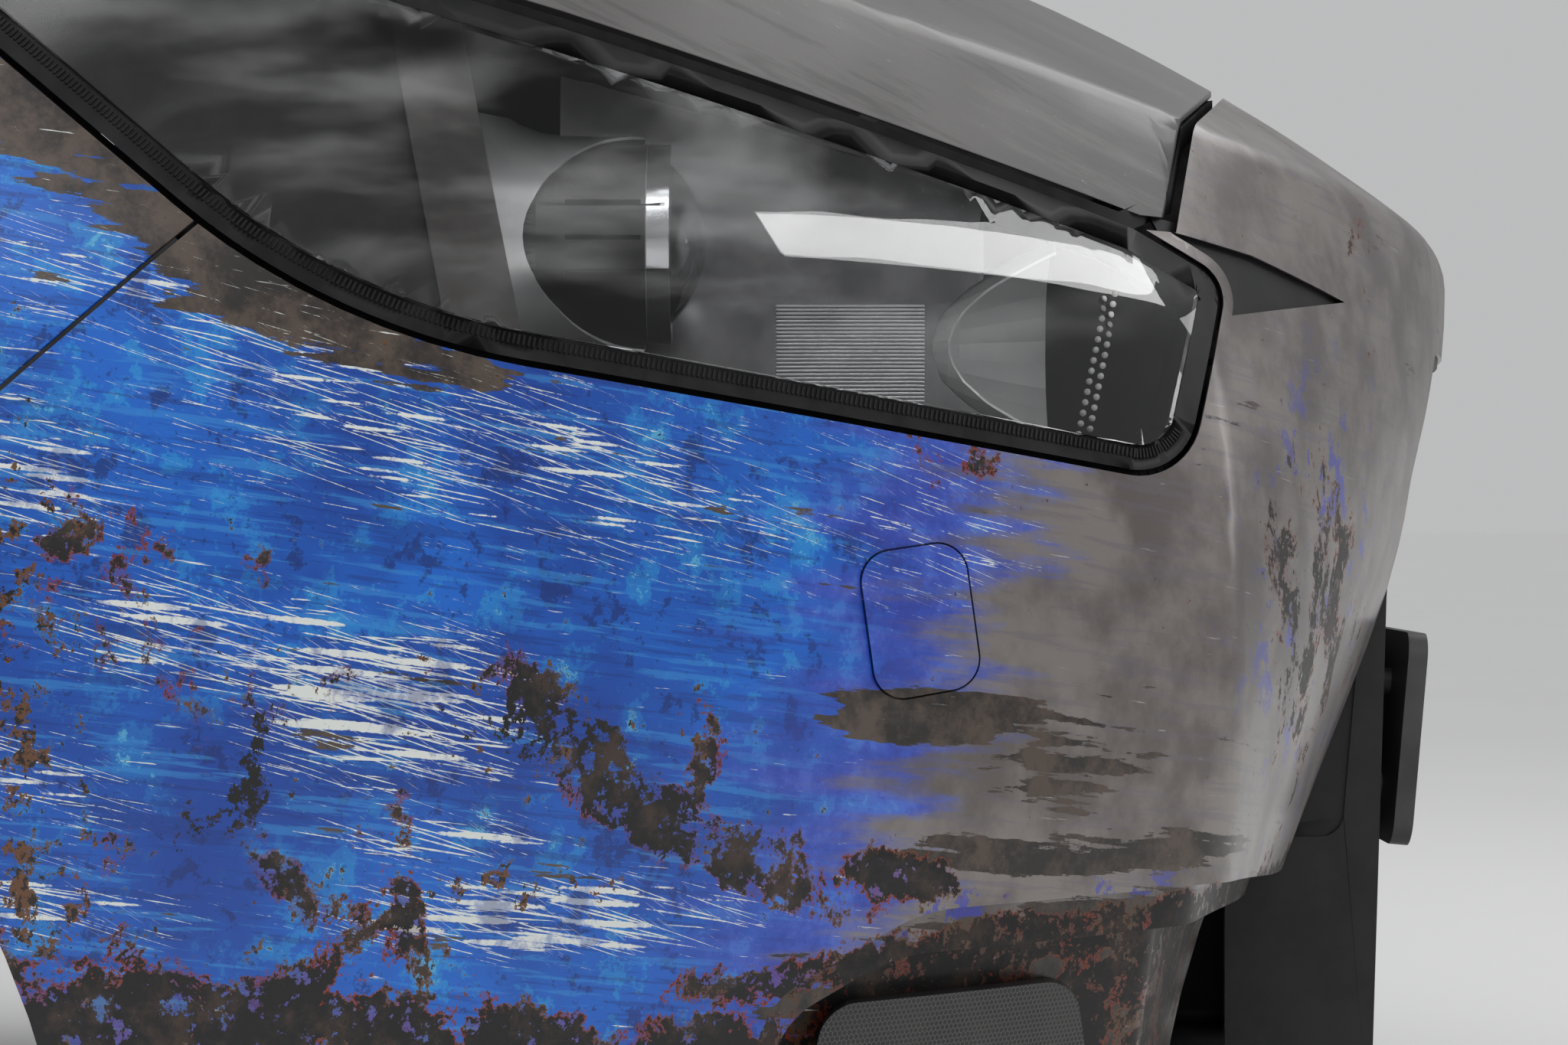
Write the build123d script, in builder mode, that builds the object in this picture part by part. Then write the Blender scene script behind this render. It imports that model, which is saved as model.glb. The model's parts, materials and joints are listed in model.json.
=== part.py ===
"""Front end of a rally hatchback: the panels, lamps and carrying structure ahead of the bulkhead.

Frame: millimetres, +Z up, nose towards -Y, the car's right-hand side at -X. The origin is the middle of
the bolt pattern on the two rear flanges of the chassis legs.

All outer panels are cut from one master skin: a loft of plan outlines (lines and arcs, stacked up the
body's side) trimmed by a loft of crown arcs (the bonnet's top). Shut lines are drawn in side view, as
(y, z) points, because that is the view in which they are seen to run. Handed pieces are made for the
right-hand side and mirrored.
"""
import os
from math import hypot, sqrt

from build123d import *

os.makedirs("parts", exist_ok=True)

# Walls and gaps
SKIN = 3.0              # moulded bumper, lens and sheet panels with their hems
SEAT = 0.3              # clearance between pieces that seat on each other
SHUT_GAP = 2.5          # fixed panel to fixed panel
BONNET_GAP = 6.0        # bonnet to everything round it
TRIM_WALL = 2.5         # mouldings inside the lamps
SHEET = 2.5             # pressed inner panels

# Master skin: plan outlines from the sill up
BODY_SECTIONS = (
    # z, nose_y, corner_x, corner_y, arch_x, door_x
    (-290, -1000, 615, -866, 880, 878),
    (-50, -960, 602, -870, 890, 884),
    (100, -1027, 606, -876, 890, 884),
    (235, -1057, 565, -862, 862, 868),
    (350, -1045, 500, -826, 800, 830),
    (640, -980, 330, -700, 640, 720),
)
ARCH_SECTION_Y = -390   # where arch_x is measured
DOOR_Y = 300            # where door_x is measured
SIDE_SAGITTA = 38       # bulge of the side between corner and arch
CORNER_RADIUS = 60

# Bonnet top: crown arcs from the nose back
CROWN_SECTIONS = (
    # y, z, radius
    (-1120, 192, 1300),
    (-905, 362, 1500),
    (-700, 448, 1900),
    (-300, 545, 2600),
    (320, 602, 4200),
)
CROWN_HALF_WIDTH = 960
RIDGE_RADIUS = 32       # round between the sides and the crown

# Reach of cutters beyond the panels
SIDE_REACH = 1000
SKY_Z = 900
DEEP_Z = -700

# Wheel arch and ends of the panels
WHEEL_Y, WHEEL_Z = -95, -155
ARCH_RADIUS = 345
WING_END_Y = 290
BONNET_END_Y = 170
SILL_Z = -290

# Shut line between bonnet and wings, in side view
BONNET_LINE = ((-838, 249), (-600, 316), (-290, 394), (0, 456), (330, 516))
# Front shut line of the bonnet, an arc in plan
BONNET_NOSE_Y = -920
LINE_SLANT = 1.05       # the line's length per length in y
BONNET_CORNER = (650, -826)

# Shut line between bumper and wing, in side view
WING_LINE = ((-520, 270), (-477, 228), (-200, -44))

# Headlamp outline in side view: tail, lower bend, front foot, front shoulder, top corner
LAMP_POINTS = ((-290, 386), (-522, 189), (-852, 136), (-876, 222), (-834, 243))
LAMP_FILLETS = (8, 250, 28, 14, 30)
LAMP_TOP_MID = (-600, 309)
RIM_WIDTH = 10.0
RIM_DEPTH = 14.0
RIM_SINK = 1.0
LAMP_BACK_REACH = 60
LAMP_BACK = ((-700, -280), (-400, -900))    # plan line of the housing's back wall

# Projector and main-beam reflector, both looking along -Y
SHROUD_Y = -588
HOOD_RADIUS, HOOD_LENGTH = 58, 22
BEZEL_DEPTH = 30
PROJECTOR_X, PROJECTOR_Z = -662, 230
PROJECTOR_FRONT_Y = -640
BARREL_RADIUS = 40
BARREL_SLOT_LENGTH = 30
COLLAR_LENGTH = 6
PROJECTOR_LENS_RADIUS = 32
PROJECTOR_DOME = 14
LENS_SEAT = 4
FIN_PITCH = 14
FIN_SLOT = 2
BEAM_X, BEAM_Z = -575, 192
BEAM_FRONT_Y = -800
BEAM_RADIUS = 46
BEAM_LOWEST_Z = 152.5     # the bowl's foot, on the housing's floor
BEAM_DEPTH = 60
BOWL_RINGS = 5
PANEL_X = -588

# Recess of the lower face, in side view, in two steps
RECESS_POINTS = (
    (-640, -215), (-680, -64), (-740, -33), (-880, -33), (-1010, -80), (-1150, -110), (-1150, -215),
)
POCKET_POINTS = (
    (-652, -200), (-686, -74), (-730, -52), (-880, -52), (-1010, -99), (-1150, -129), (-1150, -200),
)
RECESS_FILLETS = (20, 30, 60, 120)
RECESS_DEPTH = 14
POCKET_DEPTH = 30

# Washer jet cover in the bumper
CAP_CENTRE = (-739, 80)
CAP_SIZE = (42, 57)
CAP_LEAN = -8
CAP_CORNER = 12
CAP_PROUD = 2.0
CAP_GAP = 0.8
CAP_FLANGE = 4

# Vent ahead of the lamp, in side view, and the strip of bumper left between them
VENT_POINTS = ((-852, 243), (-893, 236), (-946, 220), (-872, 206))
VENT_INNER_X = 350
VENT_STRIP = 5
VENT_FLANGE = 5

# Arch liner's overlap behind the edge of the arch
LINER_LAP = 1

# Centre grille in the bumper's mouth, with the plate holder standing off its face
GRILLE_HALF_WIDTH = 262
MOUTH_POINTS = (
    (-GRILLE_HALF_WIDTH, -212), (GRILLE_HALF_WIDTH, -212), (GRILLE_HALF_WIDTH, 82), (300, 140),
    (250, 205), (-250, 205), (-300, 140), (-GRILLE_HALF_WIDTH, 82),
)
MOUTH_FILLET = 12
GRILLE_TOP = (-995, 82)        # front face of the lower part, y and z
GRILLE_BOTTOM = (-986, -212)
GRILLE_BACK_Y = -912
GRILLE_WALL = 4
GRILLE_DISH = ((-981, 60), (-972, -43), (-900, -43), (-900, 60))    # shallow dish in each side, y and z
GRILLE_DISH_DEPTH = 2
GRILLE_DISH_CORNER = 12
GRILLE_SINK = 2                 # upper rim below the bumper's surface
SLOT_PITCH = 28
SLOT_HEIGHT = 17
SLOT_HALF_WIDTH = 215
SLOT_MIDDLES = (-86, 150)       # topmost slot of the lower part, topmost slot of the upper part
SLOT_COUNTS = (5, 2)
PLATE_SIZE = (520, 110)
PLATE_LEAN = 5
PLATE_LOW_Z = -48
PLATE_GAP = 7
PLATE_THICKNESS = 10
PLATE_CORNER = 14

# Fog lamp cover
FOG_POINTS = ((-678, -190), (-702, -70), (-806, -70), (-826, -190))
FOG_FILLET = 16
FOG_PROUD = 12

# Chassis legs, crash beam, radiator and its carrier
LEG_X = 450
LEG_SIZE = (70, 100)
LEG_WALL = 3
FLANGE_SIZE = 170
FLANGE_THICKNESS = 8
BOLT_SPACING_X, BOLT_SPACING_Z = 130, 120
BOLT_HOLE_RADIUS = 6.5
BEAM_FACE_Y = -925
BEAM_ARC_RADIUS = 1700
BEAM_THICKNESS = 55
BEAM_HALF_LENGTH = 560
BEAM_LOW_Z, BEAM_HIGH_Z = -40, 55
CARRIER_Y = -780        # middle of the carrier and the radiator
CARRIER_DEPTH = 40
CARRIER_LOW_Z, CARRIER_HIGH_Z = -225, 255
CARRIER_BAR = 32
RADIATOR_HALF_WIDTH = 330
RADIATOR_DEPTH = 34
TANK_WIDTH = 45

# Inner wings and their rails
APRON_X = 560
APRON_FRONT_Y = -300
SHELF_Z = 30
RAIL_OUTER_X = 700
RAIL_HEIGHT = 50
FLANGE_DROP = 26        # wing flange below the bonnet line
FLANGE_INNER_X = 668

# Undertray
TRAY_THICKNESS = 6
TRAY_LIP = 14
TRAY_END_Y = -500

# Bonnet frame and hinges
FRAME_DEPTH = 16
FRAME_EDGE = 18
FRAME_CORNER = 40
FRAME_WINDOWS = (
    ((-45, -800), (-400, -730), (-500, -420), (-45, -390)),
    ((-45, -330), (-520, -360), (-590, 90), (-45, 110)),
)
FOOT_LENGTH = 70
FOOT_HALF_WIDTH = 25
HINGE_X = 640
HINGE_Y, HINGE_Z = 250, 494
PIN_RADIUS = 5.0
PIN_CLEARANCE = 0.1
EYE_RADIUS = 13
ARM_WIDTH = 14
ARM_FRONT_Y = 40
EAR_THICKNESS = 5
EAR_GAP = 1.0


def near(y, z):
    """Picks the sketch corner that lies at (y, z) of a side view, in the sketch's own axes."""
    return lambda corner: abs(corner.X - y) < 1 and abs(corner.Y - z) < 1


def export(piece, label):
    """Labels a finished piece and writes it."""
    piece.label = label
    export_step(piece, f"parts/{label}.step")
    print(label, len(piece.solids()), round(piece.volume / 1000, 1), piece.is_valid)


def export_pair(piece, label):
    """Writes a right-hand piece and its left-hand mirror image."""
    export(piece, label + "_right")
    export(mirror(piece, about=Plane.YZ), label + "_left")


def plan_outline(z, nose_y, corner_x, corner_y, arch_x, door_x, inset, drop):
    """One level of the body, moved inwards by inset and down by drop."""
    with BuildSketch(Plane.XY.offset(z - drop)) as level:
        with BuildLine():
            ThreePointArc((-corner_x, corner_y), (0, nose_y), (corner_x, corner_y))
            SagittaArc((corner_x, corner_y), (arch_x, ARCH_SECTION_Y), -SIDE_SAGITTA)
            Line((arch_x, ARCH_SECTION_Y), (door_x, DOOR_Y))
            Line((door_x, DOOR_Y), (-door_x, DOOR_Y))
            Line((-door_x, DOOR_Y), (-arch_x, ARCH_SECTION_Y))
            SagittaArc((-arch_x, ARCH_SECTION_Y), (-corner_x, corner_y), -SIDE_SAGITTA)
        make_face()
        fillet(level.vertices().filter_by(lambda v: abs(v.Y - corner_y) < 1), CORNER_RADIUS)
        if inset:
            offset(amount=-inset, kind=Kind.INTERSECTION)
    return level.sketch


def body_solid(inset):
    """The body's sides, as a loft of plan outlines. Its bottom sinks with inset, to leave a shell open."""
    with BuildPart() as body:
        for row in BODY_SECTIONS:
            add(plan_outline(*row, inset, inset if row[0] == SILL_Z else 0))
        loft()
    return body.part


def crown_solid(inset):
    """Everything under the bonnet's crown."""
    with BuildPart() as crown:
        for y, z, radius in CROWN_SECTIONS:
            top = z - inset
            side = top - radius + sqrt(radius**2 - CROWN_HALF_WIDTH**2)
            with BuildSketch(Plane(origin=(0, y, 0), x_dir=(1, 0, 0), z_dir=(0, -1, 0))):
                with BuildLine():
                    ThreePointArc((-CROWN_HALF_WIDTH, side), (0, top), (CROWN_HALF_WIDTH, side))
                    Polyline(
                        (CROWN_HALF_WIDTH, side),
                        (CROWN_HALF_WIDTH, DEEP_Z),
                        (-CROWN_HALF_WIDTH, DEEP_Z),
                        (-CROWN_HALF_WIDTH, side),
                    )
                make_face()
        loft()
    return crown.part


def master(inset):
    """The whole front end as one block, its surface moved inwards by inset."""
    with BuildPart() as block:
        add(body_solid(inset))
        add(crown_solid(inset), mode=Mode.INTERSECT)
        top = block.faces().sort_by(Axis.Z).filter_by(GeomType.BSPLINE)[-1]
        fillet(top.edges().filter_by(lambda e: e.center().Y < DOOR_Y - 10), RIDGE_RADIUS - inset)
    return block.part


def side_prism(points, fillets=(), start=-SIDE_REACH, end=SIDE_REACH, grow=0.0):
    """A side-view outline of straight runs, its corners rounded in turn, run from x=start to x=end."""
    with BuildPart() as prism:
        with BuildSketch(Plane.YZ.offset(start)) as outline:
            with BuildLine():
                Polyline(*points, close=True)
            make_face()
            for point, radius in zip(points, fillets):
                if radius:
                    fillet(outline.vertices().filter_by(near(*point)), radius)
            if grow:
                offset(amount=grow, kind=Kind.INTERSECTION)
        extrude(amount=end - start)
    return prism.part


def plan_prism(points, low=DEEP_Z, high=SKY_Z):
    """A plan outline of straight runs, run up from z=low to z=high."""
    with BuildPart() as prism:
        with BuildSketch(Plane.XY.offset(low)):
            with BuildLine():
                Polyline(*points, close=True)
            make_face()
        extrude(amount=high - low)
    return prism.part


def bonnet_plan(gap):
    """Everything behind the bonnet's front shut line, which is an arc in plan, moved back by gap."""
    corner_x, corner_y = BONNET_CORNER
    with BuildPart() as prism:
        with BuildSketch(Plane.XY.offset(BONNET_LINE[0][1] - 2 * BONNET_GAP)):
            with BuildLine():
                ThreePointArc(
                    (-corner_x, corner_y + gap), (0, BONNET_NOSE_Y + gap), (corner_x, corner_y + gap)
                )
                Polyline(
                    (corner_x, corner_y + gap),
                    (SIDE_REACH, corner_y + gap),
                    (SIDE_REACH, SIDE_REACH),
                    (-SIDE_REACH, SIDE_REACH),
                    (-SIDE_REACH, corner_y + gap),
                    (-corner_x, corner_y + gap),
                )
            make_face()
        extrude(amount=SKY_Z)
    return prism.part


def above_bonnet_line(lift):
    """Everything above the bonnet's side shut line, raised by lift."""
    line = [(y, z + lift) for y, z in BONNET_LINE]
    return side_prism([(-1200, line[0][1]), *line, (line[-1][0], SKY_Z), (-1200, SKY_Z)])


def lamp_prism(grow, start=-SIDE_REACH, end=0):
    """The headlamp's outline, grown by grow, run inwards from x=start to x=end."""
    tail, bend, foot, shoulder, top_corner = LAMP_POINTS
    with BuildPart() as prism:
        with BuildSketch(Plane.YZ.offset(start)) as outline:
            with BuildLine():
                Polyline(tail, bend, foot, shoulder, top_corner)
                ThreePointArc(top_corner, LAMP_TOP_MID, tail)
            make_face()
            for point, radius in zip(LAMP_POINTS, LAMP_FILLETS):
                fillet(outline.vertices().filter_by(near(*point)), radius)
            if grow:
                offset(amount=grow)
        extrude(amount=end - start)
    return prism.part


def recess(inset):
    """What is cut out of the lower face: a shallow recess and the pocket, for a skin moved in by inset."""
    with BuildPart() as shallow:
        add(side_prism(RECESS_POINTS, RECESS_FILLETS, grow=inset))
        add(body_solid(RECESS_DEPTH + inset), mode=Mode.SUBTRACT)
    with BuildPart() as cut:
        add(side_prism(POCKET_POINTS, RECESS_FILLETS, grow=inset))
        add(body_solid(POCKET_DEPTH + inset), mode=Mode.SUBTRACT)
        add(shallow.part)
    return cut.part


def shifted(solid, x=0, y=0, z=0):
    """A copy of a solid, moved."""
    return solid.moved(Location((x, y, z)))


# Blocks under the master skin, by how far their surface is moved inwards
OUTER = master(0)
UNDER_SKIN = master(SKIN + SEAT)
RIM_FLOOR = master(RIM_DEPTH)
DEEP = master(FRAME_DEPTH + SKIN + SEAT)
with BuildPart() as panels:
    add(OUTER)
    add(master(SKIN), mode=Mode.SUBTRACT)
PANELS = panels.part
with BuildPart() as arch:
    with Locations((0, WHEEL_Y, WHEEL_Z)):
        Cylinder(ARCH_RADIUS, 2 * SIDE_REACH, rotation=(0, 90, 0))
ARCH = arch.part


def bonnet_zone(gap):
    """The room of the bonnet, with gap all round it."""
    with BuildPart() as zone:
        add(above_bonnet_line(-gap * LINE_SLANT))
        add(bonnet_plan(-gap), mode=Mode.INTERSECT)
    return zone.part


def both_sides(solid):
    """A right-hand solid and its mirror image."""
    with BuildPart() as pair:
        add(solid)
        mirror(about=Plane.YZ)
    return pair.part


BONNET_ROOM = bonnet_zone(BONNET_GAP)
LAMP_ROOM = both_sides(lamp_prism(SHUT_GAP))

# Bumper cover: one moulding from arch to arch, with its stepped recess, vents and washer holes
with BuildPart() as vent_room:
    add(side_prism(VENT_POINTS, end=-VENT_INNER_X))
    add(lamp_prism(SHUT_GAP + VENT_STRIP), mode=Mode.SUBTRACT)

wing_top, wing_mid, wing_low = [(y - SHUT_GAP, z) for y, z in WING_LINE]
BUMPER_SIDE = (wing_low, wing_mid, wing_top, (wing_top[0], SKY_Z), (-1300, SKY_Z), (-1300, DEEP_Z),
               (wing_low[0], DEEP_Z))


def bumper_block(inset):
    """The bumper's form as one block, its surface moved inwards by inset."""
    with BuildPart() as block:
        add(master(inset))
        add(side_prism(BUMPER_SIDE), mode=Mode.INTERSECT)
        add(recess(inset), mode=Mode.SUBTRACT)
    return block.part


def cap_prism(grow, start, end):
    """The washer cover's outline, grown by grow, run inwards from x=start to x=end."""
    width, height = CAP_SIZE
    with BuildPart() as prism:
        with BuildSketch(Plane.YZ.offset(start)):
            with Locations(Location((*CAP_CENTRE, 0), (0, 0, CAP_LEAN))):
                RectangleRounded(width + 2 * grow, height + 2 * grow, CAP_CORNER + grow)
        extrude(amount=end - start)
    return prism.part


def mouth_prism(grow, front_y=-SIDE_REACH - 300, back_y=GRILLE_BACK_Y + 12):
    """The mouth's outline in front view, grown by grow."""
    with BuildPart() as prism:
        with BuildSketch(Plane.XZ.offset(-back_y)) as outline:
            with BuildLine():
                Polyline(*MOUTH_POINTS, close=True)
            make_face()
            fillet(outline.vertices(), MOUTH_FILLET)
            offset(amount=grow)
        extrude(amount=back_y - front_y)
    return prism.part


with BuildPart() as bumper_cover:
    add(bumper_block(0))
    add(bumper_block(SKIN), mode=Mode.SUBTRACT)
    add(BONNET_ROOM, mode=Mode.SUBTRACT)
    add(LAMP_ROOM, mode=Mode.SUBTRACT)
    add(ARCH, mode=Mode.SUBTRACT)
    add(both_sides(vent_room.part), mode=Mode.SUBTRACT)
    add(both_sides(cap_prism(CAP_GAP, -SIDE_REACH, -LEG_X)), mode=Mode.SUBTRACT)
    add(mouth_prism(SEAT), mode=Mode.SUBTRACT)
export(bumper_cover.part, "bumper_cover")

# Washer jet covers: a proud cap in the hole and a seat flange behind the skin
with BuildPart() as washer_cap:
    add(shifted(OUTER, x=-CAP_PROUD))
    add(cap_prism(0, -SIDE_REACH, -LEG_X), mode=Mode.INTERSECT)
    add(UNDER_SKIN, mode=Mode.SUBTRACT)
with BuildPart() as cap_flange:
    add(UNDER_SKIN)
    add(cap_prism(CAP_GAP + CAP_FLANGE, -SIDE_REACH, -LEG_X), mode=Mode.INTERSECT)
    add(shifted(UNDER_SKIN, x=SKIN), mode=Mode.SUBTRACT)
with BuildPart() as washer_cap_whole:
    add(washer_cap.part)
    add(cap_flange.part)
export_pair(washer_cap_whole.part, "washer_cap")

# Vent backings, lying behind the openings
with BuildPart() as upper_vent:
    add(side_prism(VENT_POINTS, end=-VENT_INNER_X, grow=VENT_FLANGE))
    add(UNDER_SKIN, mode=Mode.INTERSECT)
    add(shifted(UNDER_SKIN, x=SKIN, y=SKIN), mode=Mode.SUBTRACT)
    add(lamp_prism(SHUT_GAP), mode=Mode.SUBTRACT)
export_pair(upper_vent.part, "upper_vent")


# Fog lamp covers, bulging out of the recess
def fog_block(inset):
    """The fog lamp cover's form, its surface moved inwards by inset."""
    with BuildPart() as block:
        add(side_prism(FOG_POINTS, [FOG_FILLET] * 4, end=0, grow=-inset))
        add(body_solid(POCKET_DEPTH - FOG_PROUD + inset), mode=Mode.INTERSECT)
    return block.part


with BuildPart() as fog_cover:
    add(fog_block(0))
    add(fog_block(TRIM_WALL), mode=Mode.SUBTRACT)
    add(body_solid(POCKET_DEPTH - SEAT), mode=Mode.SUBTRACT)
export_pair(fog_cover.part, "fog_cover")


# Centre grille: one moulding that fills the mouth, a slotted box below and a recessed slotted face above;
# a shallow dish is cut in each side of the box
top_y, top_z = GRILLE_TOP
low_y, low_z = GRILLE_BOTTOM


def grille_block(inset):
    """The grille's form as one block, its surface moved inwards by inset."""
    face = (
        (low_y + inset, low_z - 1), (top_y + inset, top_z), (top_y + inset, SKY_Z),
        (GRILLE_BACK_Y, SKY_Z), (GRILLE_BACK_Y, low_z - 1),
    )
    with BuildPart() as block:
        add(mouth_prism(-inset))
        add(side_prism(face), mode=Mode.INTERSECT)
    return block.part


with BuildPart() as upper_rim:
    add(mouth_prism(0, back_y=top_y + GRILLE_WALL))
    add(mouth_prism(-GRILLE_WALL, back_y=top_y + GRILLE_WALL), mode=Mode.SUBTRACT)
    with Locations((0, 0, top_z)):
        Box(SIDE_REACH, 4 * SIDE_REACH, SIDE_REACH, align=(Align.CENTER, Align.CENTER, Align.MIN),
            mode=Mode.INTERSECT)
    add(shifted(OUTER, y=GRILLE_SINK), mode=Mode.INTERSECT)
with BuildPart() as centre_grille:
    add(grille_block(0))
    add(grille_block(GRILLE_WALL), mode=Mode.SUBTRACT)
    add(upper_rim.part)
    for start in (-GRILLE_HALF_WIDTH, GRILLE_HALF_WIDTH - GRILLE_DISH_DEPTH):
        add(side_prism(GRILLE_DISH, (0, GRILLE_DISH_CORNER), start=start, end=start + GRILLE_DISH_DEPTH),
            mode=Mode.SUBTRACT)
    for middle, count in zip(SLOT_MIDDLES, SLOT_COUNTS):
        for row in range(count):
            with Locations((0, top_y, middle - row * SLOT_PITCH)):
                Box(2 * SLOT_HALF_WIDTH, 10 * GRILLE_WALL, SLOT_HEIGHT, mode=Mode.SUBTRACT)
export(centre_grille.part, "centre_grille")

# Plate holder: a blank plate in a rounded frame, on four bosses
face_slant = (low_y - top_y) / (top_z - low_z)
plate_y = top_y + (top_z - PLATE_LOW_Z) * face_slant - PLATE_GAP
plate_plane = Plane(origin=(0, plate_y, PLATE_LOW_Z), x_dir=(1, 0, 0), z_dir=(0, -1, 0))
plate_plane = plate_plane.rotated((PLATE_LEAN, 0, 0))
with BuildPart() as plate_holder:
    with BuildSketch(plate_plane):
        with Locations((0, PLATE_SIZE[1] / 2)):
            with GridLocations(PLATE_SIZE[0] * 0.8, PLATE_SIZE[1] / 2, 2, 2):
                Circle(PLATE_GAP)
    extrude(amount=-4 * PLATE_GAP)
    add(grille_block(-SEAT), mode=Mode.SUBTRACT)
    with BuildSketch(plate_plane):
        with Locations((0, PLATE_SIZE[1] / 2)):
            RectangleRounded(*PLATE_SIZE, PLATE_CORNER)
    extrude(amount=PLATE_THICKNESS)
export(plate_holder.part, "plate_holder")

# Undertray: closes the bottom of the bumper and lips out in front of it
with BuildPart() as undertray:
    with BuildSketch(Plane.XY.offset(SILL_Z - SEAT - TRAY_THICKNESS)):
        add(plan_outline(*BODY_SECTIONS[0], -TRAY_LIP, 0).moved(Location((0, 0, -SILL_Z))))
    extrude(amount=TRAY_THICKNESS)
    split(bisect_by=Plane.XZ.offset(-TRAY_END_Y), keep=Keep.TOP)
export(undertray.part, "undertray")

# Wings: the skin behind the bumper, with a bolting flange along the top

def line_band(top_drop, depth, front_y, start, end):
    """A bar that follows the bonnet line, top_drop below it."""
    rear_y = WING_END_Y
    top = [(y, line_z(y) - top_drop) for y in (front_y, 0, rear_y)]
    low = [(y, z - depth) for y, z in reversed(top)]
    return side_prism((*top, *low), start=start, end=end)


def line_z(y):
    """Height of the bonnet line at y."""
    for (y0, z0), (y1, z1) in zip(BONNET_LINE, BONNET_LINE[1:]):
        if y <= y1:
            return z0 + (z1 - z0) * (y - y0) / (y1 - y0)
    return BONNET_LINE[-1][1]


with BuildPart() as wing:
    add(PANELS)
    with Locations((-SIDE_REACH / 2 - SHUT_GAP, 0, 0)):
        Box(SIDE_REACH, 4 * SIDE_REACH, 4 * SIDE_REACH, mode=Mode.INTERSECT)
    add(side_prism((*WING_LINE, (wing_low[0] + SHUT_GAP, DEEP_Z), (WING_END_Y, DEEP_Z), (WING_END_Y, SKY_Z),
                    (WING_LINE[0][0], SKY_Z))), mode=Mode.INTERSECT)
    add(BONNET_ROOM, mode=Mode.SUBTRACT)
    add(LAMP_ROOM, mode=Mode.SUBTRACT)
    add(ARCH, mode=Mode.SUBTRACT)
with BuildPart() as wing_flange:
    add(line_band(FLANGE_DROP, SHEET, APRON_FRONT_Y, -SIDE_REACH, -FLANGE_INNER_X))
    add(OUTER, mode=Mode.INTERSECT)
with BuildPart() as wing_whole:
    add(wing.part)
    add(wing_flange.part)
export_pair(wing_whole.part, "wing")


# Arch liners: a curved sheet from the inner wing out to the back of the skin
with BuildPart() as arch_liner:
    with BuildSketch(Plane.YZ.offset(-APRON_X - SHEET - SEAT)):
        with Locations((WHEEL_Y, WHEEL_Z)):
            Circle(ARCH_RADIUS + LINER_LAP + SHEET)
            Circle(ARCH_RADIUS + LINER_LAP, mode=Mode.SUBTRACT)
        with Locations((WHEEL_Y, SILL_Z)):
            Rectangle(2 * SIDE_REACH, SIDE_REACH, align=(Align.CENTER, Align.MIN), mode=Mode.INTERSECT)
    extrude(amount=-SIDE_REACH / 2)
    add(UNDER_SKIN, mode=Mode.INTERSECT)
    with Locations((0, WING_END_Y, 0)):
        Box(4 * SIDE_REACH, SIDE_REACH, 4 * SIDE_REACH, align=(Align.CENTER, Align.MAX, Align.CENTER),
            mode=Mode.INTERSECT)
export_pair(arch_liner.part, "arch_liner")

# Bonnet: the outer skin, then the ribbed frame under it
with BuildPart() as bonnet_room:
    add(bonnet_zone(0))
    with Locations((0, BONNET_END_Y, 0)):
        Box(4 * SIDE_REACH, 2 * SIDE_REACH, 2 * SIDE_REACH, align=(Align.CENTER, Align.MAX, Align.CENTER),
            mode=Mode.INTERSECT)
with BuildPart() as bonnet_skin:
    add(PANELS)
    add(bonnet_room.part, mode=Mode.INTERSECT)
export(bonnet_skin.part, "bonnet_skin")

with BuildPart() as bonnet_frame:
    add(UNDER_SKIN)
    add(bonnet_zone(-FRAME_EDGE), mode=Mode.INTERSECT)
    with Locations((0, BONNET_END_Y - FRAME_EDGE, 0)):
        Box(4 * SIDE_REACH, 2 * SIDE_REACH, 2 * SIDE_REACH, align=(Align.CENTER, Align.MAX, Align.CENTER),
            mode=Mode.INTERSECT)
    add(DEEP, mode=Mode.SUBTRACT)
    with BuildSketch(Plane.XY.offset(SKY_Z)) as windows:
        for window in FRAME_WINDOWS:
            with BuildLine():
                Polyline(*window, close=True)
            make_face()
        fillet(windows.vertices(), FRAME_CORNER)
        mirror(about=Plane.YZ)
    extrude(amount=-2 * SKY_Z, mode=Mode.SUBTRACT)
export(bonnet_frame.part, "bonnet_frame")

# Bonnet hinges: an arm under the frame, and a bracket with its pin on the inner wing's rail
arm_points = (
    (ARM_FRONT_Y, HINGE_Z - EYE_RADIUS),
    (ARM_FRONT_Y, SKY_Z),
    (BONNET_END_Y - FRAME_EDGE, SKY_Z),
    (BONNET_END_Y - FRAME_EDGE, HINGE_Z + EYE_RADIUS),
    (HINGE_Y, HINGE_Z + EYE_RADIUS),
    (HINGE_Y, HINGE_Z - EYE_RADIUS),
)
with BuildPart() as hinge_arm:
    add(side_prism(arm_points, start=-HINGE_X - ARM_WIDTH / 2, end=-HINGE_X + ARM_WIDTH / 2))
    add(shifted(DEEP, z=-SEAT), mode=Mode.INTERSECT)
    with Locations((-HINGE_X, HINGE_Y, HINGE_Z)):
        Cylinder(EYE_RADIUS, ARM_WIDTH, rotation=(0, 90, 0))
        Cylinder(PIN_RADIUS + PIN_CLEARANCE, 2 * ARM_WIDTH, rotation=(0, 90, 0), mode=Mode.SUBTRACT)
export_pair(hinge_arm.part, "hinge_arm")

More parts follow.
